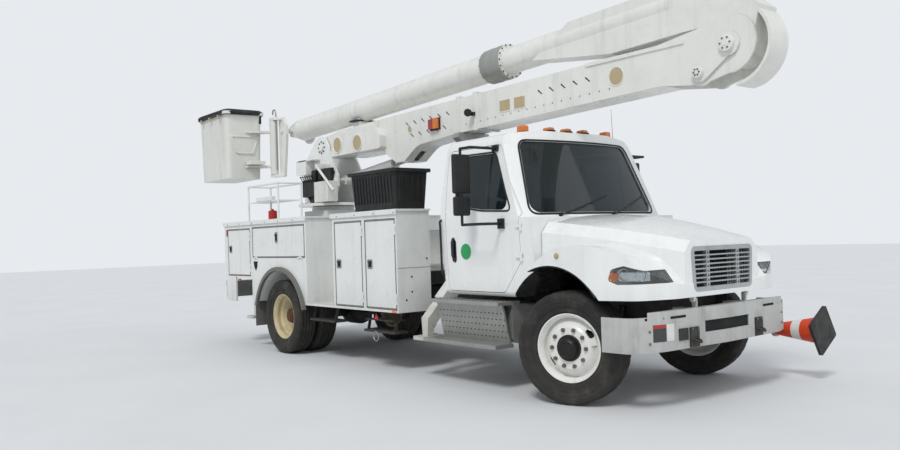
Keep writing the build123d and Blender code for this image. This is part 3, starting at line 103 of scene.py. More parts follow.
class Mat:
    """Small builder for a node material."""

    def __init__(self, name):
        self.mat = bpy.data.materials.new(name)
        self.mat.use_nodes = True
        self.tree = self.mat.node_tree
        self.bsdf = self.tree.nodes["Principled BSDF"]
        self.place = self.tree.nodes.new("ShaderNodeTexCoord").outputs["Object"]

    def node(self, kind, **values):
        n = self.tree.nodes.new(kind)
        for key, value in values.items():
            if key in n.inputs:
                n.inputs[key].default_value = value
            else:
                setattr(n, key, value)
        return n

    def feed(self, socket, value):
        """Put a number, a colour or another node's output into a socket."""
        if isinstance(value, (int, float, tuple)):
            socket.default_value = value
        else:
            self.tree.links.new(value, socket)

    def look(self, **values):
        for key, value in values.items():
            self.feed(self.bsdf.inputs[key.replace("_", " ")], value)

    def noise(self, scale, detail=4.0, stretch=(1, 1, 1), rough=0.55):
        m = self.node("ShaderNodeMapping", Scale=stretch)
        self.feed(m.inputs["Vector"], self.place)
        n = self.node("ShaderNodeTexNoise", Scale=scale, Detail=detail, Roughness=rough)
        self.feed(n.inputs["Vector"], m.outputs["Vector"])
        return n.outputs["Fac"]

    def span(self, value, lo, hi, to_lo=0.0, to_hi=1.0):
        n = self.node("ShaderNodeMapRange")
        for name, v in (("From Min", lo), ("From Max", hi), ("To Min", to_lo), ("To Max", to_hi), ("Value", value)):
            self.feed(n.inputs[name], v)
        return n.outputs["Result"]

    def math(self, how, a, b):
        n = self.node("ShaderNodeMath", operation=how)
        self.feed(n.inputs[0], a)
        self.feed(n.inputs[1], b)
        return n.outputs["Value"]

    def mix(self, fac, a, b):
        n = self.node("ShaderNodeMix", data_type="RGBA")
        for i, v in ((0, fac), (6, a), (7, b)):
            self.feed(n.inputs[i], v)
        return n.outputs[2]

    def axis(self, letter, source=None):
        """One axis of the place on the object, or of another vector."""
        n = self.node("ShaderNodeSeparateXYZ")
        self.feed(n.inputs[0], self.place if source is None else source)
        return n.outputs[letter]

    def bump(self, value, strength, distance=0.002):
        n = self.node("ShaderNodeBump", Strength=strength, Distance=distance)
        self.feed(n.inputs["Height"], value)
        self.feed(self.bsdf.inputs["Normal"], n.outputs["Normal"])


def paint(name, base, dirt="#6d675a", rough=(0.28, 0.5), metal=0.0, coat=0.0, grime=0.25, streak=0.2, low=0.0,
        rust=0.0, fine=260.0, bump=0.04, spread=0.93, dust=0.0, inside=None):
    """Painted or bare surface with tone changes, run-down streaks, road dirt low down and rust spots."""
    m = Mat(name)
    b = colour(base)
    shade = tuple(c * spread for c in b[:3]) + (1.0,)
    tone = m.mix(m.span(m.noise(2.2, 6), 0.35, 0.7), b, shade)
    tone = m.mix(m.span(m.noise(9.0, 6, (1, 1, 0.08)), 0.52, 0.78, 0.0, streak), tone, colour(dirt))
    tone = m.mix(m.span(m.noise(5.0, 8, rough=0.65), 0.5, 0.8, 0.0, grime), tone, colour(dirt))
    if low:
        near = m.span(m.axis("Z"), 1.1, 0.35, 0.0, low)
        mottled = m.math("MULTIPLY", near, m.span(m.noise(14.0, 7), 0.25, 0.75, 0.35, 1.0))
        tone = m.mix(mottled, tone, colour("#5d564a"))
    if dust:
        up = m.axis("Z", m.node("ShaderNodeNewGeometry").outputs["Normal"])
        top = m.math("MULTIPLY", m.span(up, 0.3, 1.0, 0.0, dust), m.span(m.noise(7.0, 6), 0.3, 0.7))
        tone = m.mix(top, tone, colour("#8b8474"))
    if rust:
        spots = m.span(m.noise(38.0, 8, rough=0.7), 0.70 - 0.12 * rust, 0.80 - 0.1 * rust)
        tone = m.mix(spots, tone, colour("#6b3f22"))
    if inside:
        tone = m.mix(inside(m), tone, m.mix(m.span(m.noise(8.0, 6), 0.4, 0.75), colour("#161617"), colour("#37342f")))
    m.look(Base_Color=tone, Roughness=m.span(m.noise(11.0, 6), 0.3, 0.7, *rough), Metallic=metal, Coat_Weight=coat,
        Coat_Roughness=0.12)
    m.bump(m.noise(fine, 3), bump)
    return m.mat


def wheelhouse(m):
    """1 on the skin inside the front wheel's arch, 0 outside it."""
    across = m.math("SUBTRACT", m.axis("X"), ARCH_AT[0] + AXLE_X)
    up = m.math("SUBTRACT", m.axis("Z"), ARCH_AT[1])
    away = m.math("SQRT", m.math("ADD", m.math("MULTIPLY", across, across), m.math("MULTIPLY", up, up)), 0.0)
    return m.math("LESS_THAN", away, ARCH_R + 0.006)


def cone_foot(m):
    """1 on the road cone's base, 0 on its body."""
    return m.math("GREATER_THAN", m.axis("X"), CONE_FOOT + AXLE_X)


def glassy(name, tint, transmission=0.9):
    """Window glass with a thin film of dust."""
    m = Mat(name)
    m.look(Base_Color=m.mix(m.span(m.noise(3.0, 5), 0.4, 0.8, 0.0, 0.05), colour(tint), colour("#8f8d84")),
        Roughness=m.span(m.noise(18.0, 6), 0.4, 0.8, 0.03, 0.15), Transmission_Weight=transmission, IOR=1.45)
    m.bump(m.noise(1.5, 2), 0.01)
    return m.mat


def grid_cloth(name, base, other, scale):
    """Woven cloth with a fine cross pattern."""
    m = Mat(name)
    waves = [m.node("ShaderNodeTexWave", Scale=scale, Distortion=0.6, Detail=2.0, bands_direction=way) for way in "XZ"]
    for w in waves:
        m.feed(w.inputs["Vector"], m.place)
    weave = m.math("MULTIPLY", waves[0].outputs["Fac"], waves[1].outputs["Fac"])
    tone = m.mix(weave, colour(base), colour(other))
    tone = m.mix(m.span(m.noise(6.0, 6), 0.45, 0.8, 0.0, 0.3), tone, colour("#5f5a50"))
    m.look(Base_Color=tone, Roughness=m.span(m.noise(20.0, 4), 0.3, 0.7, 0.65, 0.85), Sheen_Weight=0.2)
    m.bump(weave, 0.25, 0.001)
    return m.mat


MATS = {
    "body_white": paint("cab_paint", "#e9eae8", rough=(0.16, 0.3), coat=0.5, grime=0.07, streak=0.08, low=0.35,
                        spread=0.965, dust=0.1, inside=wheelhouse),
    "bumper_grey": paint("bumper_paint", "#bcbdba", "#55524b", (0.3, 0.5), grime=0.35, streak=0.3, low=0.3,
                         rust=0.3, spread=0.9, dust=0.3),
    "tread_alu": paint("tread_aluminium", "#a9aaa6", "#6b675e", (0.38, 0.6), 0.55, grime=0.3, low=0.25, fine=90,
                       bump=0.3),
    "seam_grey": paint("seam_rubber", "#77776f", "#3d3a34", (0.55, 0.8), grime=0.4, streak=0.3),
    "box_white": paint("box_paint", "#e4e5e2", rough=(0.25, 0.42), coat=0.25, grime=0.10, streak=0.14, low=0.4,
                       rust=0.1, spread=0.95, dust=0.2),
    "boom_white": paint("boom_paint", "#e6e5df", rough=(0.24, 0.42), coat=0.25, grime=0.12, rust=0.15,
                        spread=0.94, dust=0.2),
    "leg_white": paint("leg_paint", "#dcdbd4", rough=(0.3, 0.5), streak=0.3, low=0.5, rust=0.5),
    "bucket_white": paint("bucket_shell", "#dddcd6", rough=(0.3, 0.48), coat=0.15, grime=0.13, streak=0.22,
                          spread=0.94, bump=0.08),
    "chassis_black": paint("chassis_paint", "#1c1c1d", "#58524a", (0.45, 0.75), grime=0.4, low=0.35, rust=0.25,
                           bump=0.12),
    "engine_grey": paint("engine_metal", "#3c3e40", "#4f463a", (0.45, 0.7), 0.3, grime=0.5),
    "cone_orange": paint("cone_vinyl", "#d8431c", "#5a3b2c", (0.45, 0.65), grime=0.35, streak=0.3, inside=cone_foot),
    "trim_grey": paint("trim_plastic", "#3c3c3e", rough=(0.5, 0.7), grime=0.12, streak=0.0, fine=900, bump=0.2),
    "seat_cloth": grid_cloth("seat_weave", "#2d2e31", "#44464a", 260.0),
    "amber_lens": paint("amber_plastic", "#e2740f", "#8a4a12", (0.12, 0.25), coat=0.8, grime=0.15, streak=0.1,
                        fine=420, bump=0.3),
    "red_lens": paint("red_plastic", "#a3150f", "#4a100c", (0.12, 0.25), coat=0.8, grime=0.15, streak=0.1, fine=420,
                      bump=0.3),
    "deck_grey": paint("deck_plate", "#a4a5a1", "#5b564b", (0.35, 0.6), 0.4, grime=0.4, rust=0.3, fine=60, bump=0.35),
    "black_plastic": paint("black_plastic", "#141415", "#4a4740", (0.42, 0.62), grime=0.22, streak=0.1, fine=700,
                           bump=0.15),
    "black_rubber": paint("black_rubber", "#17171a", "#5a554b", (0.6, 0.85), grime=0.35, low=0.3, fine=400, bump=0.2),
    "flare_grey": paint("flare_rubber", "#6f6d68", "#4e4a42", (0.55, 0.8), grime=0.35, fine=300, bump=0.2),
    "grille_grey": paint("grille_paint", "#b4b7b8", "#4d4a44", (0.28, 0.45), 0.55, streak=0.1),
    "rim_white": paint("rim_paint", "#e7e6e1", "#6a5d48", (0.22, 0.4), coat=0.3, grime=0.12, streak=0.08, rust=0.1),
    "rim_cream": paint("rim_cream", "#c9bb94", "#7a6238", (0.4, 0.6), grime=0.55, streak=0.25, rust=0.5),
    "hub_brown": paint("hub_rust", "#5c3b26", "#2c2018", (0.55, 0.8), 0.25, grime=0.6, rust=0.8, fine=120, bump=0.4),
    "hub_black": paint("hub_black", "#232222", "#4b3a2a", (0.35, 0.6), 0.4, grime=0.4, rust=0.5),
    "rod_chrome": paint("rod_chrome", "#c4c7c9", "#77736a", (0.07, 0.2), 1.0, grime=0.12),
    "steel": paint("bare_steel", "#a2a4a4", "#5e584c", metal=0.85, grime=0.3, rust=0.3),
    "bolt": paint("bolt_zinc", "#85837b", "#5c3d24", (0.35, 0.6), 0.8, grime=0.5, rust=0.9),
    "label_red": paint("label_film", "#a8302a", "#6a4a44", (0.35, 0.5), grime=0.15),
    "tan": paint("tan_insert", "#b9a784", "#75664a", (0.35, 0.55), grime=0.3),
    "tyre": paint("tyre_rubber", "#1f1f20", "#615b4d", (0.72, 0.92), grime=0.5, streak=0.0, low=0.2, fine=500,
                  bump=0.25),
    "lamp_silver": paint("lamp_reflector", "#c8cccf", "#8c8c88", (0.08, 0.2), 1.0, grime=0.1),
    "green_disc": paint("green_film", "#1f9c57", "#2b6a48", (0.3, 0.45), grime=0.1),
    "red_paint": paint("red_paint", "#b3201c", "#5a1512", (0.3, 0.5), grime=0.2),
    "screen_glass": glassy("screen_glass", "#4f5f64"),
    "lamp_glass": glassy("lamp_lens", "#eef2f3", 0.97),
    "mirror_face": paint("mirror_face", "#d9dddf", "#9a9a94", (0.02, 0.08), 1.0, grime=0.06, streak=0.05, bump=0.0),
    # Painted shade: near-black finish laid where holes, slots and gaps would show shade; the grille's own dark mesh
    # wears it too
    "gap_shade_and_dark_mesh": paint("gap_shade_and_dark_mesh", "#0c0c0d", rough=(0.8, 0.95), grime=0.1, streak=0.0),
}

# Finish of each CAD node that doesn't take its record slot's own
DRESS = {"service_body": "box_white", "outrigger_boxes": "box_white", "pedestal": "box_white",
    "ladder_rack": "box_white", "rear_fenders": "flare_grey", "bumper": "bumper_grey", "cab_glass": "screen_glass",
    "door_glass_left": "screen_glass", "door_glass_right": "screen_glass", "headlamps": "lamp_glass"}
DRESS.update({name: "box_white" for name in NODES if name.startswith("body_door")})
DRESS.update({name: "tread_alu" for name in NODES if name.startswith("cab_steps")})
slots = {row["node"]: row["material_slot"] for row in frame["record"]["subparts"]}
for name, node in NODES.items():
    node.data.materials.clear()
    node.data.materials.append(MATS[DRESS.get(name, slots[name])])


# Shapes

def skin_faces(rings, n):
    """Faces between closed rings of n points each."""
    return [(k * n + i, k * n + (i + 1) % n, (k + 1) * n + (i + 1) % n,
        (k + 1) * n + i) for k in range(rings - 1) for i in range(n)]


class Piece:
    """Mesh made of several forms in one finish, riding on one body."""

    def __init__(self, name, body, finish, bevel=0.0, smooth=38):
        self.name, self.body, self.finish, self.bevel, self.smooth = name, body, finish, bevel, smooth
        self.bm = bmesh.new()

    def faces(self, points, faces):
        verts = [self.bm.verts.new(p) for p in points]
        for f in faces:
            try:
                self.bm.faces.new([verts[i] for i in f])
            except ValueError:
                pass

    def box(self, x0, x1, y0, y1, z0, z1):
        """Block between two corners, counted from the front axle."""
        centre = V((x0 + x1) / 2, (y0 + y1) / 2, (z0 + z1) / 2)
        hx, hy, hz = abs(x1 - x0) / 2, abs(y1 - y0) / 2, abs(z1 - z0) / 2
        points = [centre + Vector((sx * hx, sy * hy, sz * hz)) for sx in (-1, 1) for sy in (-1, 1) for sz in (-1, 1)]
        self.faces(points, [(0, 1, 3, 2), (4, 6, 7, 5), (0, 4, 5, 1), (2, 3, 7, 6), (0, 2, 6, 4), (1, 5, 7, 3)])

    def boxes(self, *rows):
        for row in rows:
            self.box(*row)

    def panel(self, a, b, z0, z1):
        """Upright sheet between two places seen from above."""
        self.faces([V(*a, z0), V(*a, z1), V(*b, z1), V(*b, z0)], [(0, 1, 2, 3)])

    def ring(self, centre, axis, radius, count):
        """Points round an axis."""
        axis = Vector(axis).normalized()
        side = axis.orthogonal().normalized()
        up = axis.cross(side)
        return [centre + (side * math.cos(t) + up * math.sin(t)) * radius for t in turns(count)]

    def loft(self, rings):
        """Skin between rings of the same count, with both ends filled."""
        n = len(rings[0])
        caps = [tuple(reversed(range(n))), tuple((len(rings) - 1) * n + i for i in range(n))]
        self.faces([p for ring in rings for p in ring], skin_faces(len(rings), n) + caps)

    def rod(self, a, b, r, n=20, r2=None):
        """Round bar between two places, tapered when r2 is given."""
        a, b = V(*a), V(*b)
        self.loft([self.ring(a, b - a, r, n), self.ring(b, b - a, r if r2 is None else r2, n)])

    def lathe(self, at, axis, profile, n=48):
        """Turned form: profile is (distance along the axis, radius) pairs from a place."""
        start, axis = V(*at), Vector(axis).normalized()
        self.loft([self.ring(start + axis * s, axis, max(r, 0.0004), n) for s, r in profile])

    def hexes(self, axis, r, high, places):
        """Nuts with a round end, at places on the plane of an axis."""
        axis = Vector(axis).normalized()
        for p in places:
            self.loft([self.ring(p, axis, r, 6), self.ring(p + axis * high * 0.75, axis, r, 6),
                self.ring(p + axis * high, axis, r * 0.75, 6)])
            self.loft([self.ring(p + axis * high * 0.9, axis, r * 0.5, 10), self.ring(p + axis * high * 1.35, axis,
                r * 0.45, 10)])

    def tube(self, points, r, n=10, steps=8, straight=False):
        """Round tube along a smooth line, or along straight runs."""
        pts = [V(*p) for p in points]
        path = pts if straight else smooth_line(pts, steps)
        rings, last = [], None
        for i, p in enumerate(path):
            way = (path[min(i + 1, len(path) - 1)] - path[max(i - 1, 0)]).normalized()
            last = way.orthogonal().normalized() if last is None else (last - way * last.dot(way)).normalized()
            up = way.cross(last)
            rings.append([p + (last * math.cos(t) + up * math.sin(t)) * r for t in turns(n)])
        self.loft(rings)

    def prism(self, points, axis, d0, d1):
        """Outline extruded along x or y; its points are in the other two, in that order."""
        spot = {"x": lambda a, b, d: V(d, a, b), "y": lambda a, b, d: V(a, d, b)}[axis]
        self.loft([[spot(a, b, d) for a, b in points] for d in (d0, d1)])

    def ball(self, at, r):
        made = bmesh.ops.create_uvsphere(self.bm, u_segments=16, v_segments=9, radius=r)
        for v in made["verts"]:
            v.co += V(*at)

    def done(self):
        """Object with its finish, seated on its body."""
        bmesh.ops.recalc_face_normals(self.bm, faces=self.bm.faces)
        mesh = bpy.data.meshes.new(self.name)
        self.bm.to_mesh(mesh)
        self.bm.free()
        mesh.polygons.foreach_set("use_smooth", [True] * len(mesh.polygons))
        mesh.set_sharp_from_angle(angle=math.radians(self.smooth))
        mesh.materials.append(MATS[self.finish])
        o = add_object(self.name, mesh)
        if self.bevel:
            mod = o.modifiers.new("edges", "BEVEL")
            mod.width, mod.segments, mod.limit_method = self.bevel, 2, "ANGLE"
            mod.angle_limit = math.radians(40)
        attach(o, self.body)
        return o


def add_object(name, data):
    """Object of some data, in the scene."""
    o = bpy.data.objects.new(name, data)
    bpy.context.scene.collection.objects.link(o)
    return o


def done(*pieces):
    for piece in pieces:
        piece.done()


def smooth_line(points, steps):
    """Points of a smooth line through the given ones."""
    out = []
    for i in range(len(points) - 1):
        p0, p1, p2 = points[max(i - 1, 0)], points[i], points[i + 1]
        p3 = points[min(i + 2, len(points) - 1)]
        for k in range(steps):
            t = k / steps
            out.append(0.5 * ((2 * p1) + (p2 - p0) * t + (2 * p0 - 5 * p1 + 4 * p2 - p3) * t * t
                              + (3 * p1 - p0 - 3 * p2 + p3) * t ** 3))
    return out + [points[-1]]


def rounded(points, r, n=5):
    """Outline with its corners rounded."""
    out = []
    for i, p in enumerate(points):
        a, b, c = Vector(points[i - 1]), Vector(points[(i + 1) % len(points)]), Vector(p)
        start, end = c + (a - c).normalized() * r, c + (b - c).normalized() * r
        for k in range(n + 1):
            t = k / n
            q = start * (1 - t) ** 2 + c * 2 * t * (1 - t) + end * t * t
            out.append((q.x, q.y))
    return out


def plate(a0, a1, b0, b1, r, n=5):
    """Rectangle with rounded corners."""
    return rounded([(a0, b0), (a0, b1), (a1, b1), (a1, b0)], r, n)


def level(x0, x1, y0, y1, z, r):
    """Ring of a level rectangle with rounded corners."""
    return [V(a, b, z) for b, a in plate(y0, y1, x0, x1, r)]


TREES = {}


def hit(node, start, way):
    """First point, from the front axle, where a line meets a CAD node."""
    if node not in TREES:
        mesh = NODES[node].data
        TREES[node] = BVHTree.FromPolygons([v.co for v in mesh.vertices], [p.vertices for p in mesh.polygons])
    p = TREES[node].ray_cast(V(*start), Vector(way).normalized())[0]
    return (p.x - AXLE_X, p.y - AXLE_Y, p.z) if p else None


def from_side(node, side, x, z, far=1.6):
    return hit(node, (x, side * far, z), (0, -side, 0))


def from_front(node, y, z, start=2.0):
    return hit(node, (start, y, z), (-1, 0, 0))


def from_top(node, x, y, start):
    return hit(node, (x, y, start), (0, 0, -1))


def tube_z(x):
    """Height of the upper boom's axis at x."""
    return TUBE_TIP[1] + (x - TUBE_TIP[0]) * TUBE_SLOPE


# Camera, floor and light

def camera():
    """Camera at the photograph's viewing angle."""
    data = bpy.data.cameras.new("camera")
    data.sensor_width = 36.0
    data.lens = FOCAL_PX / FRAME_PX * data.sensor_width
    data.shift_y = SHIFT_PX / FRAME_PX
    data.clip_end = 200
    cam = add_object("camera", data)
    ahead = Vector((-math.sin(YAW) * math.cos(PITCH), math.cos(YAW) * math.cos(PITCH), math.sin(PITCH)))
    right = Vector((math.cos(YAW), math.sin(YAW), 0.0))
    up = right.cross(ahead)
    right, up = (right * math.cos(ROLL) + up * math.sin(ROLL), -right * math.sin(ROLL) + up * math.cos(ROLL))
    turn = Matrix((right, up, -ahead)).transposed()
    cam.matrix_world = Matrix.Translation(V(*CAMERA_AT)) @ turn.to_4x4()
    bpy.context.scene.camera = cam


def studio():
    """Pale floor, pale surroundings and soft light."""
    m = Mat("floor_pale")
    m.look(Base_Color=m.mix(m.span(m.noise(0.6, 5), 0.3, 0.7), colour("#d9dadb"), colour("#d4d5d6")), Roughness=0.85)
    mesh = bpy.data.meshes.new("floor")
    r = 60.0
    mesh.from_pydata([(-r, -r, 0), (r, -r, 0), (r, r, 0), (-r, r, 0)], [], [(0, 1, 2, 3)])
    mesh.materials.append(m.mat)
    add_object("floor", mesh)
    world = bpy.data.worlds.new("studio")
    bpy.context.scene.world = world
    world.use_nodes = True
    nodes, links = world.node_tree.nodes, world.node_tree.links
    back, pale = nodes["Background"], nodes.new("ShaderNodeBackground")
    for node, tint, strength in ((back, (0.90, 0.95, 1.0, 1), 0.62), (pale, (0.80, 0.83, 0.86, 1), 1.0)):
        node.inputs["Color"].default_value = tint
        node.inputs["Strength"].default_value = strength
    path = nodes.new("ShaderNodeLightPath")
    seen = nodes.new("ShaderNodeMath")
    seen.operation = "MAXIMUM"
    choose = nodes.new("ShaderNodeMixShader")
    for a, b in ((path.outputs["Is Camera Ray"], seen.inputs[0]), (path.outputs["Is Transmission Ray"],
            seen.inputs[1]), (seen.outputs[0], choose.inputs[0]), (back.outputs[0],
            choose.inputs[1]), (pale.outputs[0], choose.inputs[2]), (choose.outputs[0],
            nodes["World Output"].inputs["Surface"])):
        links.new(a, b)
    for name, way, power, spread in (("key", (-0.35, 0.62, -0.8), 1.55, 14), ("fill", (-0.8, -0.3, -0.5), 0.5, 60)):
        sun = bpy.data.lights.new(name, "SUN")
        sun.energy, sun.angle = power, math.radians(spread)
        lamp = add_object(name, sun)
        lamp.rotation_mode = "QUATERNION"
        lamp.rotation_quaternion = Vector(way).to_track_quat("-Z", "Y")
    bpy.context.scene.view_settings.view_transform = "Standard"


# Wheels

# Half of a tyre's section from the bead to the middle: (across, radius)
SECTION = ((0.080, 0.2905), (0.092, 0.312), (0.112, 0.320), (0.120, 0.345), (0.1195, 0.352), (0.1245, 0.360),
    (0.1225, 0.363), (0.130, 0.370), (0.1355, 0.388), (0.1340, 0.391), (0.138, 0.400), (0.140, 0.425), (0.137, 0.430),
    (0.137, 0.445), (0.1395, 0.449), (0.136, 0.470), (0.130, 0.487), (0.122, 0.497), (0.112, 0.5045), (0.098, 0.5075),
    (0.0735, 0.5085), (0.0725, 0.496), (0.0635, 0.496), (0.0625, 0.509), (0.0295, 0.5095), (0.0285, 0.497),
    (0.0195, 0.497), (0.0185, 0.510))


def tyre_rings(lug):
    """Rings of a tyre with grooves and shoulder blocks about the Z axis."""
    rings = []
    for i, t in enumerate(turns(TREAD_STEPS)):
        ring = []
        for across, r in SECTION + tuple((-a, r) for a, r in reversed(SECTION)):
            if abs(across) > 0.073 and r > 0.48:
                r -= lug if i % 4 == 0 else 0
            elif abs(across) < 0.064 and r > 0.505 and i % 6 == 0:
                r -= lug * 0.5
            ring.append(Vector((r * math.cos(t), r * math.sin(t), across)))
        rings.append(ring)
    return rings


def add_tyre(piece, place, rings):
    """One tyre put where a matrix says; its own axis is Z, outboard up."""
    n = len(rings[0])
    faces = []
    for k in range(TREAD_STEPS):
        k2 = (k + 1) % TREAD_STEPS
        faces += [(k * n + i, k2 * n + i, k2 * n + i + 1, k * n + i + 1) for i in range(n - 1)]
    piece.faces([place @ p for ring in rings for p in ring], faces)


def wheel_place(x, y, side, steer=0.0):
    """Matrix that takes a wheel made about Z, outboard up, to its axle's end."""
    place = Matrix.Translation(V(x, side * y, TYRE_R)) @ Matrix.Rotation(math.radians(-90 * side), 4, "X")
    if steer:
        pin = Matrix.Translation(V(0, side * KINGPIN_Y, 0))
        place = pin @ Matrix.Rotation(steer, 4, "Z") @ pin.inverted() @ place
    return place


def local(place, x, y, z):
    """Place from the front axle of a point on a wheel."""
    p = place @ Vector((x, y, z))
    return (p.x - AXLE_X, p.y - AXLE_Y, p.z)


def bolt_circle(place, r, z, n, start=0.0):
    """Points round a wheel's axis."""
    return [place @ Vector((r * math.cos(t), r * math.sin(t), z)) for t in turns(n, start)]


def wheels():
    """Treaded tyres, wheel nuts, hubs and valve stems."""
    front_rings, rear_rings = tyre_rings(0.003), tyre_rings(0.004)
    middle, reach = sum(DUAL_Y) / 2, (DUAL_Y[1] - DUAL_Y[0]) / 2
    for word, side in SIDES:
        body = f"front_wheel_{word}"
        front = wheel_place(0, FRONT_Y, side, STEER)
        axis = front.to_3x3() @ Vector((0, 0, 1))
        tyre = Piece(f"front_tread_{word}", body, "tyre", smooth=30)
        add_tyre(tyre, front, front_rings)
        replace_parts(tyre.done(), f"front_tyre_{word}")
        rear = wheel_place(-WHEELBASE, middle, side)
        out = rear.to_3x3() @ Vector((0, 0, 1))
        pair = Piece(f"rear_tread_{word}", f"rear_wheels_{word}", "tyre", smooth=30)
        for shift in (reach, -reach):
            add_tyre(pair, rear @ Matrix.Translation((0, 0, shift)), rear_rings)
        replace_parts(pair.done(), f"rear_tyres_{word}")
        nuts = Piece(f"front_nuts_{word}", body, "bolt")
        nuts.hexes(axis, 0.0195, 0.026, bolt_circle(front, NUT_CIRCLE, 0.0925, 10))
        hub = Piece(f"front_hub_{word}", body, "hub_black", smooth=25)
        hub.lathe(local(front, 0, 0, 0.0915), axis, ((0, 0.119), (0.006, 0.119), (0.012, 0.112), (0.012, 0.094),
            (0.045, 0.088), (0.058, 0.082), (0.068, 0.070), (0.0705, 0.040), (0.072, 0.0)))
        hub.hexes(axis, 0.0085, 0.006, bolt_circle(front, 0.060, 0.159, 6))
        stem = Piece(f"front_valve_{word}", body, "steel")
        stem.rod(local(front, 0.24, 0.02, 0.03), local(front, 0.228, 0.02, 0.105), 0.005, 10)
        brown = Piece(f"rear_hub_{word}", f"rear_wheels_{word}", "hub_brown", smooth=25)
        brown.lathe(local(rear, 0, 0, 0.0135), out, ((0, 0.143), (0.008, 0.143), (0.014, 0.132), (0.118, 0.106),
            (0.123, 0.104), (0.140, 0.096), (0.165, 0.084), (0.168, 0.074)))
        brown.hexes(out, 0.019, 0.034, bolt_circle(rear, NUT_CIRCLE, 0.0135, 10))
        brown.hexes(out, 0.010, 0.014, bolt_circle(rear, 0.088, 0.152, 8, 0.5))
        brown.lathe(local(rear, 0, 0, 0.176), out, ((0, 0.060), (0.012, 0.056), (0.016, 0.030), (0.017, 0.0)))
        done(nuts, hub, stem, brown)


# Service body

LATCHES = {"rear": (0.045, 0.055), "drop": (0.037, 0.075), "tall_a": (0.052, 0.055), "tall_b": (0.052, 0.055)}


def latch(piece, ring, x, y, z, side, wide, high):
    """Paddle latch of a compartment door: a dished plate and a folding T handle."""
    ring.prism(plate(x - wide, x + wide, z - high, z + high, 0.016), "y", y, y + side * 0.004)
    w, h = wide * 0.58, high * 0.66
    piece.prism(plate(x - w, x + w, z - h, z + h, 0.012), "y", y + side * 0.003, y + side * 0.006)
    piece.box(x - 0.011, x + 0.011, y, y + side * 0.016, z - high * 0.6, z + high * 0.45)
    piece.box(x - wide * 0.55, x + wide * 0.55, y + side * 0.008, y + side * 0.019, z + high * 0.3, z + high * 0.6)


def service_details():
    """Latches, pressed seams, lamps, bolts, and the recess's strap and bin."""
    for word, side in SIDES:
        y = side * BODY_Y
        for name, x0, x1, z0, z1 in BODY_DOORS:
            body = f"body_door_{name}_{word}"
            black = Piece(f"latch_{name}_{word}", body, "black_plastic", 0.0015)
            steel = Piece(f"latch_ring_{name}_{word}", body, "steel")
            x, z = x0 + 0.10, (z0 + z1) / 2
            if name == "drop":
                x, z = (x0 + x1) / 2 - 0.02, z1 - 0.16
            elif name == "rear":
                z += 0.05
            latch(black, steel, x, y + side * 0.0005, z, side, *LATCHES[name])
            seam = Piece(f"door_seam_{name}_{word}", body, "seam_grey")
            t = 0.015
            y = from_side(body, side, (x0 + x1) / 2, z0 + 0.05)[1]
            for a, b, c, d in ((x0 + 0.004, x1 - 0.004, z0 + 0.003, z0 + 0.003 + t), (x0 + 0.004, x1 - 0.004,
                    z1 - 0.003 - t, z1 - 0.003), (x0 + 0.003, x0 + 0.003 + t, z0 + 0.006, z1 - 0.006), (x1 - 0.003 - t,
                    x1 - 0.003, z0 + 0.006, z1 - 0.006)):
                seam.box(a, b, y - side * 0.001, y + side * 0.0016, c, d)
            done(black, steel, seam)
        lamps = Piece(f"side_markers_{word}", "chassis", "red_lens", 0.003)
        lamps.boxes((-6.985, -6.955, y, y + side * 0.012, 1.660, 1.760), (-6.60, -6.50, y, y + side * 0.010, 0.985,
            1.015))
        amber = Piece(f"side_markers_front_{word}", "chassis", "amber_lens", 0.003)
        amber.box(-2.52, -2.44, y, y + side * 0.010, 0.705, 0.728)
        lip = Piece(f"rail_bolts_{word}", "chassis", "bolt")
        places = [-6.9 + 0.42 * i for i in range(6)] + [-3.65 + 0.41 * i for i in range(4)]
        lip.hexes((0, side, 0), 0.008, 0.006, [V(x, y + side * 0.0195, 1.834) for x in places])
        strap = Piece(f"recess_strap_{word}", "chassis", "black_rubber")
        strap.tube(((-4.20, side * 0.778, 1.62), (-4.20, side * 0.815, 1.55), (-4.19, side * 0.83, 1.40),
            (-4.21, side * 0.815, 1.27), (-4.20, side * 0.778, 1.22)), 0.011)
        bin_ = Piece(f"recess_bin_{word}", "chassis", "box_white", 0.003)
        bin_.boxes((-4.07, -3.85, side * 0.776, side * 0.93, 0.727, 1.02), (-4.08, -3.84, side * 0.776, side * 0.94,
            1.02, 1.035))
        done(lamps, amber, lip, strap, bin_)


def tail_details():
    """Lamps and a blank plate at the tail."""
    red = Piece("tail_lamps", "chassis", "red_lens", 0.004)
    ring = Piece("tail_lamp_rings", "chassis", "black_rubber", 0.001)
    panel = Piece("plate_blank", "chassis", "box_white", 0.002)
    for y in (-0.86, -1.02, 0.86, 1.02):
        p = hit("deck", (-9.0, y, 0.79), (1, 0, 0))
        ring.lathe(p, (-1, 0, 0), ((0, 0.060), (0.008, 0.060), (0.011, 0.050), (0.010, 0.047)))
        red.lathe(p, (-1, 0, 0), ((0, 0.046), (0.012, 0.046), (0.018, 0.038), (0.020, 0.0)))
    x = hit("deck", (-9.0, 0.58, 0.79), (1, 0, 0))[0]
    panel.box(x - 0.003, x, 0.42, 0.73, 0.715, 0.865)
    done(red, ring, panel)


# Cab

def outline_tube(piece, points, r, ray):
    """Tube laid on a surface along a closed outline; ray takes the outline's two numbers to a place on it."""
    found = []
    for (a0, b0), (a1, b1) in zip(points, points[1:] + points[:1]):
        count = max(2, int(math.hypot(a1 - a0, b1 - b0) / 0.05))
        for k in range(count):
            t = k / count
            found.append(ray(a0 + (a1 - a0) * t, b0 + (b1 - b0) * t))
    found = [p for p in found if p]
    piece.tube(found + found[:1], r, 8, 2)


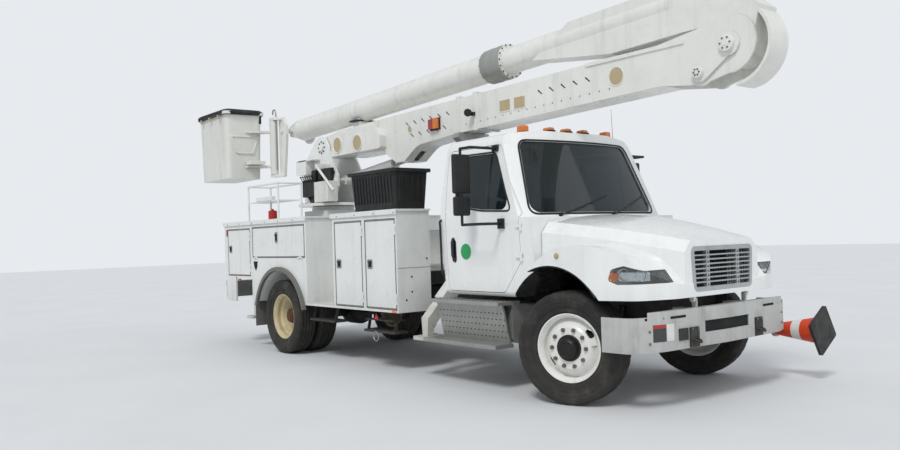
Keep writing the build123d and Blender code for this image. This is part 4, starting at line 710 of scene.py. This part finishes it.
def wiper_arms(piece):
    """Arm, blade and pivot of both wipers."""
    for base, tip in ((-0.62, -0.10), (0.10, 0.62)):
        x, y, z = from_front("cab_shell", base, 1.71, 0.4)
        ends = [from_front("cab_glass", a, b, 0.4) for a, b in ((tip - 0.27, 1.86 - 0.08), (tip, 1.86),
            (tip + 0.22, 1.86 + 0.06))]
        ends = [(p[0] + 0.012, p[1], p[2]) for p in ends]
        piece.rod((x - 0.01, y, z), (x + 0.035, y, z + 0.02), 0.018, 14)
        piece.tube(((x + 0.028, y, z + 0.016), ends[0], (ends[1][0] + 0.014, *ends[1][1:])), 0.007)
        piece.tube(ends, 0.008)


def cab_details():
    """Seals, wipers, handles, mirrors' glass, grab bars, antenna, lamps' bases and a plain disc."""
    seal = Piece("screen_seal", "chassis", "black_rubber")
    outline_tube(seal, rounded(SCREEN, 0.10), 0.011, lambda a, b: from_front("cab_shell", a, b, 0.4))
    seal.done()
    for word, side in SIDES:
        door, node = f"door_{word}", f"cab_door_{word}"
        trim = Piece(f"window_seal_{word}", door, "black_rubber")
        outline_tube(trim, rounded(WINDOW, 0.07), 0.009, lambda a, b: from_side(node, side, a, b))
        bar = Piece(f"window_bar_{word}", door, "black_rubber")
        bar.tube([from_side(f"door_glass_{word}", side, -1.02, z) for z in (1.83, 2.34)], 0.012, straight=True)
        handle = Piece(f"door_handle_{word}", door, "black_plastic", 0.003)
        y = from_side(node, side, -1.555, 1.40)[1]
        handle.prism(((-1.595, 1.44), (-1.585, 1.52), (-1.545, 1.53), (-1.515, 1.48), (-1.515, 1.29), (-1.54, 1.265),
            (-1.575, 1.28), (-1.59, 1.33)), "y", y - side * 0.004, y + side * 0.006)
        handle.prism(((-1.578, 1.475), (-1.565, 1.505), (-1.538, 1.49), (-1.535, 1.33), (-1.555, 1.315),
            (-1.575, 1.34)), "y", y + side * 0.012, y + side * 0.026)
        for z0, z1 in ((1.455, 1.485), (1.335, 1.365)):
            handle.box(-1.570, -1.542, y + side * 0.002, y + side * 0.016, z0, z1)
        glass = Piece(f"mirror_glass_{word}", door, "mirror_face")
        s = side * 1.33
        for half, z0, z1 in ((0.092, 1.975, 2.335), (0.085, 1.755, 1.915)):
            glass.prism(plate(s - half, s + half, z0, z1, 0.02), "x", -1.1215, -1.1195)
        grab = Piece(f"grab_bar_{word}", "chassis", "black_plastic")
        y = side * 1.10
        grab.tube(((-1.735, side * 1.06, 1.13), (-1.735, y, 1.15), (-1.738, y, 1.22), (-1.745, y, 1.62),
            (-1.748, y, 1.70), (-1.748, side * 1.06, 1.72)), 0.012)
        done(trim, bar, handle, glass, grab)
    wiper = Piece("wipers", "chassis", "black_plastic")
    wiper_arms(wiper)
    mast = Piece("antenna", "chassis", "black_plastic")
    x, y, z = from_top("cab_shell", -1.05, 0.93, 3.2)
    mast.rod((x, y, z - 0.004), (x, y, z + 0.03), 0.016, 14, 0.009)
    mast.rod((x, y, z + 0.02), (x - 0.02, y + 0.01, z + 0.42), 0.003, 8, 0.0015)
    bases = Piece("roof_lamp_bases", "chassis", "black_plastic", 0.002)
    for y in (-0.635, -0.26, 0.0, 0.26, 0.635):
        z = from_top("cab_shell", -0.915, y, 3.2)[2]
        bases.box(-0.975, -0.855, y - 0.045, y + 0.045, z - 0.02, z + 0.006)
    disc = Piece("door_disc", "door_right", "green_disc")
    x, y, z = from_side("cab_door_right", -1, -1.36, 1.38)
    disc.lathe((x, y + 0.001, z), (0, -1, 0), ((0, 0.082), (0.0025, 0.082), (0.003, 0.080), (0.003, 0.0)))
    done(wiper, mast, bases, disc)


def hood_details():
    """Lamps' inner parts, straps, latches, the grille's mesh, dark squares of painted shade for the grille's holes, and
    the arches' lips.
    """
    bowls = Piece("lamp_bowls", "hood", "lamp_silver", smooth=25)
    amber = Piece("turn_lamps", "hood", "amber_lens", 0.002)
    pale = Piece("hood_markers", "hood", "tan", 0.002)
    strap = Piece("hood_straps", "hood", "black_rubber", 0.002)
    latches = Piece("hood_latches", "hood", "black_rubber", 0.003)
    for side in (-1, 1):
        for x, y, z, r in ((0.66, 1.035, 1.165, 0.052), (0.79, 0.97, 1.155, 0.046)):
            bowls.lathe((x, side * y, z), (0.62, side * 0.78, 0.05), ((-0.03, 0.012), (-0.02, r * 0.6), (0.0, r * 0.9),
                (0.012, r), (0.012, r * 0.93), (0.0, r * 0.8), (-0.012, r * 0.5), (-0.014, 0.0)))
        x, y, z = from_side("headlamps", side, 0.60, 1.15)
        amber.box(x - 0.035, x + 0.035, y - side * 0.050, y - side * 0.014, 1.115, 1.185)
        x, y, z = from_side("hood", side, 0.02, 1.335)
        pale.lathe((x, y - side * 0.002, z), (0, side, 0.1), ((0, 0.026), (0.012, 0.024), (0.018, 0.016), (0.020, 0.0)))
        spots = [from_side("headlamps", side, 0.63 + 0.026 * i, 1.15) for i in range(9)]
        for a, b in zip(spots, spots[1:]):
            if a and b:
                bowls.panel((a[0], a[1] - side * 0.055), (b[0], b[1] - side * 0.055), 1.112, 1.186)
        p, q = (from_side("hood", side, x, z) for x, z in ((-0.24, 1.36), (-0.36, 1.24)))
        strap.tube((p, ((p[0] + q[0]) / 2, (p[1] + q[1]) / 2 + side * 0.014, (p[2] + q[2]) / 2), q), 0.012)
        x, y, z = from_side("hood", side, -0.30, 1.283)
        latches.boxes((x - 0.022, x + 0.022, y - side * 0.002, y + side * 0.02, 1.24, 1.33), (x - 0.034, x + 0.034,
            y - side * 0.002, y + side * 0.01, 1.22, 1.25))
    mesh = Piece("grille_mesh", "hood", "gap_shade_and_dark_mesh")
    for i in range(22):
        y = -0.44 + 0.04 * i
        mesh.box(0.895, 0.899, y - 0.0015, y + 0.0015, 1.0, 1.38)
    for i in range(9):
        z = 1.02 + 0.042 * i
        mesh.box(0.892, 0.896, -0.45, 0.45, z - 0.0015, z + 0.0015)
    # Painted shade: dark squares on the grille's face stand in for the shade in its holes
    squares = Piece("grille_hole_shade", "hood", "gap_shade_and_dark_mesh")
    for y in (-0.230, 0.230):
        for z in [1.045 + 0.040 * i for i in range(8)]:
            p = from_front("grille", y, z)
            if p:
                squares.box(p[0] - 0.001, p[0] + 0.001, y - 0.008, y + 0.008, z - 0.008, z + 0.008)
    rim = Piece("arch_lips", "hood", "black_rubber")
    for side in (-1, 1):
        arc = [math.radians(38 + 84 * k / 14) for k in range(15)]
        pts = [(ARCH_AT[0] + ARCH_R * math.cos(t), side * 1.166, ARCH_AT[1] + ARCH_R * math.sin(t)) for t in arc]
        rim.tube([p for p in pts if p[0] > -0.35 and p[2] > 0.96], 0.007, 8, 3)
    done(bowls, amber, pale, strap, latches, mesh, squares, rim)


# Boom

def boom_windows():
    """Round and square inserts in the boom's sides, each with its ring."""
    tan = Piece("boom_windows", "lower_boom", "tan", smooth=25)
    ring = Piece("boom_window_rings", "lower_boom", "boom_white", 0.002, smooth=25)
    kinds = ((COVER_Y, (0.004, 0.005), (0.009, 0.012, 0.003), (0.02, 0.012), ((-5.14, 2.924, 0.105), (-4.607, 2.898,
        0.105))), (BOOM_Y, (0.003, 0.004), (0.006, 0.008, 0.002), (0.012, 0.006), ((-3.50, 2.96, 0.040), (-3.05, 2.98,
        0.040), (-0.05, 3.055, 0.085))))
    for side in (-1, 1):
        for y, (flat, tip), (high, top, low), (wide, mid), spots in kinds:
            for x, z, r in spots:
                tan.lathe((x, side * y, z), (0, side, 0), ((0, r), (flat, r), (tip, 0.0)))
                ring.lathe((x, side * y, z), (0, side, 0), ((0, r + wide), (high, r + wide), (top, r + mid),
                    (high, r + 0.001), (low, r)))
        for x in (-1.66, -1.42):
            ring.box(x - 0.10, x + 0.10, side * BOOM_Y, side * 0.186, 2.93, 3.08)
            tan.box(x - 0.085, x + 0.085, side * 0.185, side * 0.1885, 2.945, 3.065)
    done(tan, ring)


def collar():
    """Bands, sleeve and bolts of the upper boom's collar."""
    bolts = Piece("collar_bolts", "upper_boom", "bolt")
    across = Vector((0, 1, 0))
    for x, face in ((-2.0705, -1), (-1.7295, 1)):
        axis = Vector((1, 0, TUBE_SLOPE)).normalized() * face
        up = axis.cross(across)
        bolts.hexes(axis, 0.010, 0.014,
            [V(x, 0, tube_z(x)) + (across * math.cos(t) + up * math.sin(t)) * 0.1865 for t in turns(16)])
    band = Piece("collar_band", "upper_boom", "deck_grey", 0.003)
    for x, inner, outer, wide in ((-1.99, 0.1985, 0.203, 0.05), (-1.84, 0.1985, 0.203, 0.05), (-2.068, 0.1982, 0.2002,
            0.336)):
        band.lathe((x, 0, tube_z(x)), (1, 0, TUBE_SLOPE), ((0, inner), (0.0, outer), (wide, outer), (wide, inner)))
    done(bolts, band)


def boom_lamps():
    """Side lamp in two colours on its foot."""
    y = from_side("lower_boom", -1, -2.95, 2.955, 0.8)[1]
    for name, finish, bevel, row in (("side_lamp", "red_lens", 0.004, (-3.04, -2.95, y - 0.055, y - 0.018, 2.892,
            3.018)), ("side_lamp_amber", "amber_lens", 0.004, (-2.948, -2.86, y - 0.055, y - 0.018, 2.892,
            3.018)), ("side_lamp_foot", "black_plastic", 0.003, (-3.05, -2.85, y - 0.020, y + 0.001, 2.880, 3.030))):
        lamp = Piece(name, "lower_boom", finish, bevel)
        lamp.box(*row)
        lamp.done()


def boom_details():
    """Inserts, bands, lamps, slots painted as dark shade, rivets, saddle and elbow pins of the booms."""
    boom_windows()
    band = Piece("insulator_band", "lower_boom", "boom_white", 0.004)
    for x in (-2.50, -2.18):
        z0, z1 = 2.775 + (x + 2.52) * 0.028, 3.185 + (x + 5.2) * 0.017
        band.box(x - 0.03, x + 0.03, -0.188, 0.188, z0, z1 + 0.004)
    band.done()
    collar()
    boom_lamps()
    # Painted shade: dark quads on the lower boom's sides stand in for the shade inside its slots
    slots_ = Piece("boom_slot_shade", "lower_boom", "gap_shade_and_dark_mesh")
    rivets = Piece("boom_rivets", "lower_boom", "steel")
    for side in (-1, 1):
        for start, count, up in ((-3.55, 6, 0.10), (-3.45, 5, -0.06), (-1.10, 5, 0.06)):
            for x in [start + 0.17 * i for i in range(count)]:
                z = 2.95 + (x + 3) * 0.03 + up
                p = from_side("lower_boom", side, x, z, 0.8)
                if p:
                    slots_.faces([V(x + dx, p[1] + side * 0.0008, z + dz) for dx, dz in ((0.026, -0.030),
                        (0.036, -0.024), (-0.026, 0.030), (-0.036, 0.018))], [(0, 1, 2, 3)])
        for x in [-2.35 + 0.13 * i for i in range(18)]:
            p = from_side("lower_boom", side, x, 2.86 + (x + 3) * 0.03, 0.8)
            if p:
                rivets.lathe(p, (0, side, 0), ((0, 0.009), (0.004, 0.007), (0.005, 0.0)), 12)
    lamp = Piece("boom_work_lamp", "lower_boom", "black_plastic", 0.003, smooth=25)
    x, y, z = from_side("lower_boom", -1, -2.20, 2.98, 0.8)
    lamp.box(x - 0.03, x + 0.03, y - 0.05, y + 0.001, z - 0.02, z + 0.02)
    lamp.lathe((x, y - 0.10, z + 0.01), (0.5, -0.8, -0.2), ((-0.06, 0.02), (-0.04, 0.038), (0.0, 0.046),
        (0.010, 0.046), (0.012, 0.0)))
    saddle = Piece("boom_saddle", "lower_boom", "black_rubber", 0.004)
    z = from_top("lower_boom", -4.90, 0.0, 4.2)[2]
    saddle.box(-5.00, -4.80, -0.17, 0.17, z - 0.002, z + 0.020)
    pins = Piece("pin_caps", "elbow_link", "boom_white", 0.002, smooth=25)
    nuts = Piece("pin_bolts", "elbow_link", "bolt")
    for side in (-1, 1):
        for (x, z), r in ((ELBOW, 0.060), ((0.905, 2.920), 0.040)):
            pins.lathe((x, side * 0.234, z), (0, side, 0), ((0, r + 0.012), (0.010, r + 0.012), (0.014, r),
                (0.014, r * 0.5), (0.018, r * 0.45), (0.018, 0.0)))
            ring = r - 0.012
            nuts.hexes((0, side, 0), 0.009, 0.008, [V(x + ring * math.cos(t), side * 0.2475,
                z + ring * math.sin(t)) for t in turns(6)])
    done(slots_, rivets, lamp, saddle, pins, nuts)


def turntable_details():
    """Bolts, valve box with its gear and levers, hoses and a strut on the turntable."""
    steel = Piece("turntable_bolts", "turntable", "bolt")
    steel.hexes((0, 0, 1), 0.014, 0.012, [V(-5.8 + 0.47 * math.cos(t), 0.47 * math.sin(t), 2.1055) for t in turns(24)])
    for side in (-1, 1):
        steel.hexes((0, side, 0), 0.015, 0.012, [V(-5.7 + 0.085 * math.cos(t), side * 0.2305,
            2.95 + 0.085 * math.sin(t)) for t in turns(8)])
    box = Piece("valve_box", "turntable", "boom_white", 0.004)
    box.boxes((-5.67, -5.27, -0.40, -0.231, 2.115, 2.42), (-6.20, -5.76, -0.37, -0.231, 2.76, 2.785))
    dark = Piece("valve_gear", "turntable", "black_plastic", 0.002)
    dark.boxes((-6.15, -5.75, -0.33, -0.232, 2.22, 2.48), (-5.92, -5.36, -0.290, -0.231, 2.44, 2.62), (-5.86, -5.74,
        -0.330, -0.288, 2.48, 2.60), (-5.68, -5.60, -0.315, -0.288, 2.47, 2.57))
    for x in [-6.12 + 0.065 * i for i in range(6)]:
        dark.rod((x, -0.33, 2.44), (x, -0.37, 2.52), 0.007, 8)
        dark.ball((x, -0.372, 2.525), 0.014)
    hoses = Piece("turntable_hoses", "turntable", "black_rubber")
    for i in range(7):
        x, y = -6.05 + 0.05 * i, -0.26 - 0.018 * i
        hoses.tube(((x, -0.30, 2.24), (x + 0.02, y, 2.16), (x + 0.08, y - 0.01, 2.13), (x + 0.2, -0.25, 2.18),
            (-5.45 + 0.02 * i, -0.245, 2.45 + 0.02 * i)), 0.011)
    strut = Piece("turntable_strut", "turntable", "boom_white", 0.002)
    strut.tube(((-5.52, -0.425, 2.640), (-5.06, -0.425, 2.26)), 0.020, straight=True)
    strut.box(-5.55, -5.49, -0.440, -0.229, 2.62, 2.68)
    done(steel, box, dark, hoses, strut)


# Bucket

def bucket_details():
    """Moulded step outline, padded cover with clasps, guard, shelf and controls of the bucket."""
    (x0, x1), (y0, y1), z1 = BUCKET_X, BUCKET_Y, BUCKET_TOP
    step = Piece("bucket_step", "bucket", "bucket_white", 0.006)
    face, ym = x1 - 0.010, (y0 + y1) / 2
    outer = rounded([(ym - 0.25, 3.27), (ym + 0.25, 3.27), (ym + 0.15, 2.98), (ym - 0.15, 2.98)], 0.04)
    inner = rounded([(ym - 0.215, 3.245), (ym + 0.215, 3.245), (ym + 0.13, 3.005), (ym - 0.13, 3.005)], 0.035)
    levels = ((face - 0.01, outer), (face + 0.013, outer), (face + 0.013, inner), (face - 0.004, inner))
    step.faces([V(x, a, b) for x, edge in levels for a, b in edge], skin_faces(len(levels), len(outer)))
    step.done()
    cover = Piece("bucket_cover", "bucket", "black_rubber", smooth=60)
    rings = []
    for up, out in ((-0.050, 0.030), (-0.045, 0.042), (-0.010, 0.048), (0.014, 0.036), (0.034, 0.0), (0.050, -0.07),
            (0.062, -0.16), (0.068, -0.26)):
        edge = plate(y0 - out, y1 + out, x0 - out, x1 + out, max(0.10 + out, 0.02), 8)
        rings.append([V(a, b, z1 + up + 0.003 * math.sin(9 * a + 7 * b)) for b, a in edge])
    cover.loft(rings)
    cover.done()
    clasps = Piece("cover_clasps", "bucket", "tan", 0.002)
    for x in (x0 + 0.2, (x0 + x1) / 2, x1 - 0.2):
        clasps.box(x - 0.022, x + 0.022, y0 - 0.057, y0 - 0.040, z1 - 0.105, z1 - 0.045)
    guard = Piece("bucket_guard", "platform_bracket", "steel")
    guard.tube(((-6.93, -0.345, 2.72), (-6.93, -0.345, 3.45), (-6.95, -0.345, 3.66), (-7.02, -0.345, 3.69),
        (-7.05, -0.345, 3.62)), 0.012)
    shelf = Piece("bucket_shelf", "bucket", "boom_white", 0.004)
    shelf.box(-7.155, -6.99, -0.78, -0.52, 2.80, 2.86)
    lever = Piece("bucket_controls", "bucket", "black_plastic", 0.003)
    lever.box(-7.23, -7.165, -0.62, -0.49, 3.48, 3.60)
    done(clasps, guard, shelf, lever)


def swell(o, pressure, cap):
    """Puff a closed form out as stuffing does, with each point's way capped."""
    mod = o.modifiers.new("even", "REMESH")
    mod.mode, mod.voxel_size = "VOXEL", 0.010
    apply_all(o)
    start = [v.co.copy() for v in o.data.vertices]
    cloth = o.modifiers.new("cloth", "CLOTH").settings
    cloth.use_pressure = True
    cloth.uniform_pressure_force = pressure
    cloth.effector_weights.gravity = 0
    for step in range(1, 21):
        bpy.context.scene.frame_set(step)
    apply_all(o)
    bpy.context.scene.frame_set(1)
    for v, was in zip(o.data.vertices, start):
        way = v.co - was
        if way.length > cap:
            v.co = was + way * (cap / way.length)


def apply_all(o):
    """Turn what the modifiers make into the object's own mesh."""
    graph = bpy.context.evaluated_depsgraph_get()
    mesh = bpy.data.meshes.new_from_object(o.evaluated_get(graph))
    o.modifiers.clear()
    o.data = mesh


def seat_details():
    """Stuffed cushions and backs in place of the plain seats."""
    pads = Piece("seat_pads", "chassis", "seat_cloth", smooth=60)
    for y in (-0.52, 0.52):
        pads.loft([level(-1.58 + out, -1.10 - out, y - 0.225 + out, y + 0.225 - out, z, 0.05) for z,
            out in ((1.196, 0.008), (1.215, 0.0), (1.290, 0.0), (1.312, 0.012))])
        pads.loft([level(back, front, y - half, y + half, z, 0.03) for z, back, front, half in ((1.345, -1.590, -1.485,
            0.215), (1.50, -1.592, -1.482, 0.222), (1.80, -1.600, -1.515, 0.215), (1.96, -1.602, -1.540, 0.185))])
    o = pads.done()
    swell(o, 4.0, 0.012)
    o.data.polygons.foreach_set("use_smooth", [True] * len(o.data.polygons))
    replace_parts(o, "seats")


# Steps, rack, bin and walls

def step_details():
    """Holes in the riser and treads of the cab steps, painted as dark discs of shade."""
    for word, side in SIDES:
        # Painted shade: dark discs stand in for the shade that shows through the steps' holes
        holes = Piece(f"tread_hole_shade_{word}", "chassis", "gap_shade_and_dark_mesh", smooth=25)
        for x in [-1.78 + 0.06 * i for i in range(17)]:
            for j in range(5):
                p = from_side("cab_steps", side, x + 0.03 * (j % 2), 0.53 + 0.06 * j)
                if p:
                    holes.lathe((p[0], p[1] - side * 0.0005, p[2]), (0, side, 0.2), SMALL_HOLE, 10)
            for y in (0.95, 1.02, 1.09, 1.15):
                p = from_top("cab_steps", x, side * y, 0.95)
                if p and p[2] > 0.87:
                    holes.lathe(p, (0, 0, 1), HOLE, 10)
        holes.done()


def rack_details():
    """White channel on the rack's shelf and a red can under it."""
    channel = Piece("rack_channel", "chassis", "box_white", 0.004)
    channel.box(-5.98, -5.50, -1.188, -1.12, 2.1425, 2.20)
    can = Piece("rack_can", "chassis", "red_paint")
    can.lathe(from_top("service_body", -5.72, -1.06, 2.12), (0, 0, 1), ((0, 0.0), (0.0, 0.058), (0.008, 0.062),
        (0.120, 0.062), (0.132, 0.050), (0.135, 0.018), (0.155, 0.018), (0.155, 0.0)), 32)
    done(channel, can)


def bin_details():
    """Ribs on the tote's right and front sides."""
    ribs = Piece("bin_ribs", "chassis", "black_plastic", 0.003)
    section = ((-0.012, 0.002), (0.012, 0.002), (0.008, -0.012), (-0.008, -0.012))
    faces = [(0, 1, 2, 3), (7, 6, 5, 4), (0, 4, 5, 1), (1, 5, 6, 2), (2, 6, 7, 3), (3, 7, 4, 0)]
    for x in [-3.43 + 0.065 * i for i in range(13)]:
        ends = [from_side("side_bin", -1, x, z) for z in (1.96, 2.28)]
        if all(ends):
            ribs.faces([V(x + along, p[1] + out, p[2]) for p in ends for along, out in section], faces)
    for y in [-1.03 + 0.085 * i for i in range(5)]:
        ends = [from_front("side_bin", y, z, -2.2) for z in (1.96, 2.28)]
        if all(ends):
            ribs.faces([V(p[0] - out, y + along, p[2]) for p in ends for along, out in section], faces)
    ribs.done()


def wall_details():
    """Front wall's seam, its holes painted as dark discs of shade, and the dark mark ahead of the rear door."""
    for word, side in SIDES:
        # Painted shade: dark discs stand in for the shade inside the front wall's holes
        dark = Piece(f"wall_hole_shade_{word}", "chassis", "gap_shade_and_dark_mesh", smooth=25)
        for y, z in ((0.80, 1.30), (1.02, 1.10), (1.02, 0.93), (1.10, 0.84), (0.72, 1.62)):
            p = from_front("service_body", side * y, z, -1.9)
            if p:
                dark.lathe(p, (1, 0, 0), HOLE, 14)
        p = from_side("service_body", side, -6.10, 1.24)
        if p:
            y = p[1] + side * 0.0005
            dark.prism([(-6.06, 1.275), (-5.93, 1.275), (-5.95, 1.19), (-5.995, 1.14), (-6.04, 1.19)], "y", y,
                y + side * 0.003)
        seam = Piece(f"wall_seam_{word}", "chassis", "seam_grey")
        x = from_front("service_body", side * 0.80, 1.20, -1.9)[0]
        seam.box(x, x + 0.0015, side * 0.66, side * 1.20, 1.200, 1.206)
        done(dark, seam)


def hung_step(piece, x0, x1, z, side):
    """Tread on two slanted straps from the compartments' underside."""
    piece.box(x0, x1, side * 0.98, side * 1.17, z - 0.015, z + 0.015)
    for x in (x0 + 0.04, x1 - 0.04):
        p = hit("service_body", (x, side * 1.10, 0.40), (0, 0, 1))
        if p:
            top = p[2] + 0.001
            piece.prism([(side * 1.15, z), (side * 1.11, z), (side * 1.06, top), (side * 1.10, top)], "x", x - 0.006,
                x + 0.006)


def under_details():
    """Side steps and a tray under the compartments, with a ring and a red triangle."""
    for word, side in SIDES:
        step = Piece(f"side_steps_{word}", "chassis", "chassis_black", 0.003)
        hung_step(step, -4.51, -3.88, 0.515, side)
        hung_step(step, -3.20, -2.56, 0.460, side)
        step.box(-3.17, -2.59, side * 0.985, side * 1.165, 0.585, 0.600)
        step.done()
    ring = Piece("tray_ring", "chassis", "steel")
    ring.tube([(-2.93 + 0.055 * math.cos(t), -1.178, 0.405 + 0.055 * math.sin(t)) for t in turns(16) + [2 * math.pi]],
        0.007, 8, 2)
    red = Piece("tray_triangle", "chassis", "red_paint")
    red.prism([(-2.975, 0.600), (-2.885, 0.600), (-2.93, 0.672)], "y", -1.168, -1.163)
    done(ring, red)


def chassis_details():
    """Exhaust pipe, shock absorbers and spring bolts under the truck."""
    steel = Piece("exhaust", "chassis", "steel", smooth=30)
    steel.tube(((-0.30, 0.30, 0.72), (-0.9, 0.345, 0.68), (-1.6, 0.365, 0.66), (-2.1, 0.365, 0.66)), 0.050, 16)
    steel.lathe((-2.1, 0.365, 0.66), (-1, 0, 0), ((0, 0.05), (0.03, 0.11), (0.75, 0.11), (0.78, 0.05), (0.80, 0.05)))
    shocks = Piece("shock_absorbers", "chassis", "hub_black", smooth=30)
    nuts = Piece("spring_bolts", "chassis", "bolt")
    for side in (-1, 1):
        shocks.rod((0.16, side * 0.46, 0.84), (0.12, side * 0.47, 0.66), 0.032, 18)
        shocks.rod((0.12, side * 0.47, 0.66), (0.10, side * 0.475, 0.56), 0.018, 14)
        spots = [hit("rear_suspension", (x, side * y, 0.2), (0, 0, 1)) for x in (-WHEELBASE - 0.07,
            -WHEELBASE + 0.07) for y in (0.40, 0.50)]
        nuts.hexes((0, 0, -1), 0.016, 0.018, [V(*p) for p in spots if p])
    done(steel, shocks, nuts)


def bumper_details():
    """Slots painted as dark shade, tow brackets with shackles, bolts and blank labels of the bumper."""
    # Painted shade: dark sheets set in and on the bumper stand in for the shade inside its slots
    dark = Piece("bumper_slot_shade", "chassis", "gap_shade_and_dark_mesh")
    black = Piece("tow_brackets", "chassis", "chassis_black", 0.004)
    bolts = Piece("bumper_bolts", "chassis", "bolt")
    skin = [from_front("bumper", -0.43 + 0.86 * i / 12, 0.63) for i in range(13)]
    for a, b in zip(skin, skin[1:]):
        dark.panel((a[0] - 0.0125, a[1]), (b[0] - 0.0125, b[1]), 0.62, 0.76)
    for side in (-1, 1):
        for y0, y1 in ((0.88, 1.06), (0.60, 0.80)):
            q, r = (from_front("bumper", side * y, (0.790 + 0.812) / 2) for y in (y0, y1))
            if q and r:
                dark.panel((q[0] + 0.001, side * y0), (r[0] + 0.001, side * y1), 0.790, 0.812)
        x = from_front("bumper", side * 0.50, 0.58)[0]
        black.box(x - 0.004, x + 0.016, side * 0.44, side * 0.56, 0.53, 0.70)
        black.tube([(x + dx, side * y, z) for dx, y, z in ((0.010, 0.47, 0.60), (0.055, 0.48, 0.585),
            (0.070, 0.50, 0.575), (0.055, 0.52, 0.585), (0.010, 0.53, 0.60))], 0.011)
        spots = []
        for y, z, out in ((0.46, 0.685, 0.016), (0.54, 0.685, 0.016), (1.02, 0.70, 0.0), (1.02, 0.60, 0.0)):
            p = from_front("bumper", side * y, z)
            if p:
                spots.append(V(p[0] + out, p[1], p[2]))
        bolts.hexes((1, 0, 0), 0.012, 0.009, spots)
    x = from_front("bumper", -0.64, 0.66)[0]
    black.box(x - 0.004, x + 0.010, -0.70, -0.58, 0.60, 0.70)
    for y0, y1, z0, z1, finish in ((-0.99, -0.86, 0.722, 0.752, "label_red"), (-0.99, -0.86, 0.61, 0.722, "trim_grey"),
            (-0.855, -0.76, 0.61, 0.752, "box_white")):
        label = Piece(f"bumper_label_{finish}", "chassis", finish)
        edges = [y0 + (y1 - y0) * i / 6 for i in range(7)]
        for ya, yb in zip(edges, edges[1:]):
            q, r = (from_front("bumper", y, 0.68) for y in (ya, yb))
            if q and r:
                label.panel((q[0] + 0.002, ya), (r[0] + 0.002, yb), z0, z1)
        label.done()
    done(dark, black, bolts)


def cone_details():
    """Pale band round the road cone."""
    band = Piece("cone_bands", "chassis", "bucket_white", smooth=30)
    axis = Vector((1, 0, 0.03)).normalized()
    near, far, tip_r, slope = 0.40, 0.50, 0.025, 0.110 / 0.670
    r0, r1 = tip_r + slope * near, tip_r + slope * far
    band.lathe((0.440 + near * axis.x, 1.375, 0.480 + near * axis.z), axis, ((0, r0 + 0.0012),
        (far - near, r1 + 0.0012), (far - near, r1 - 0.004), (0, r0 - 0.004)))
    band.done()


for make in (camera, studio, wheels, service_details, tail_details, cab_details, hood_details, boom_details,
        turntable_details, bucket_details, cone_details, seat_details, step_details, rack_details, bin_details,
        wall_details, under_details, bumper_details, chassis_details):
    make()
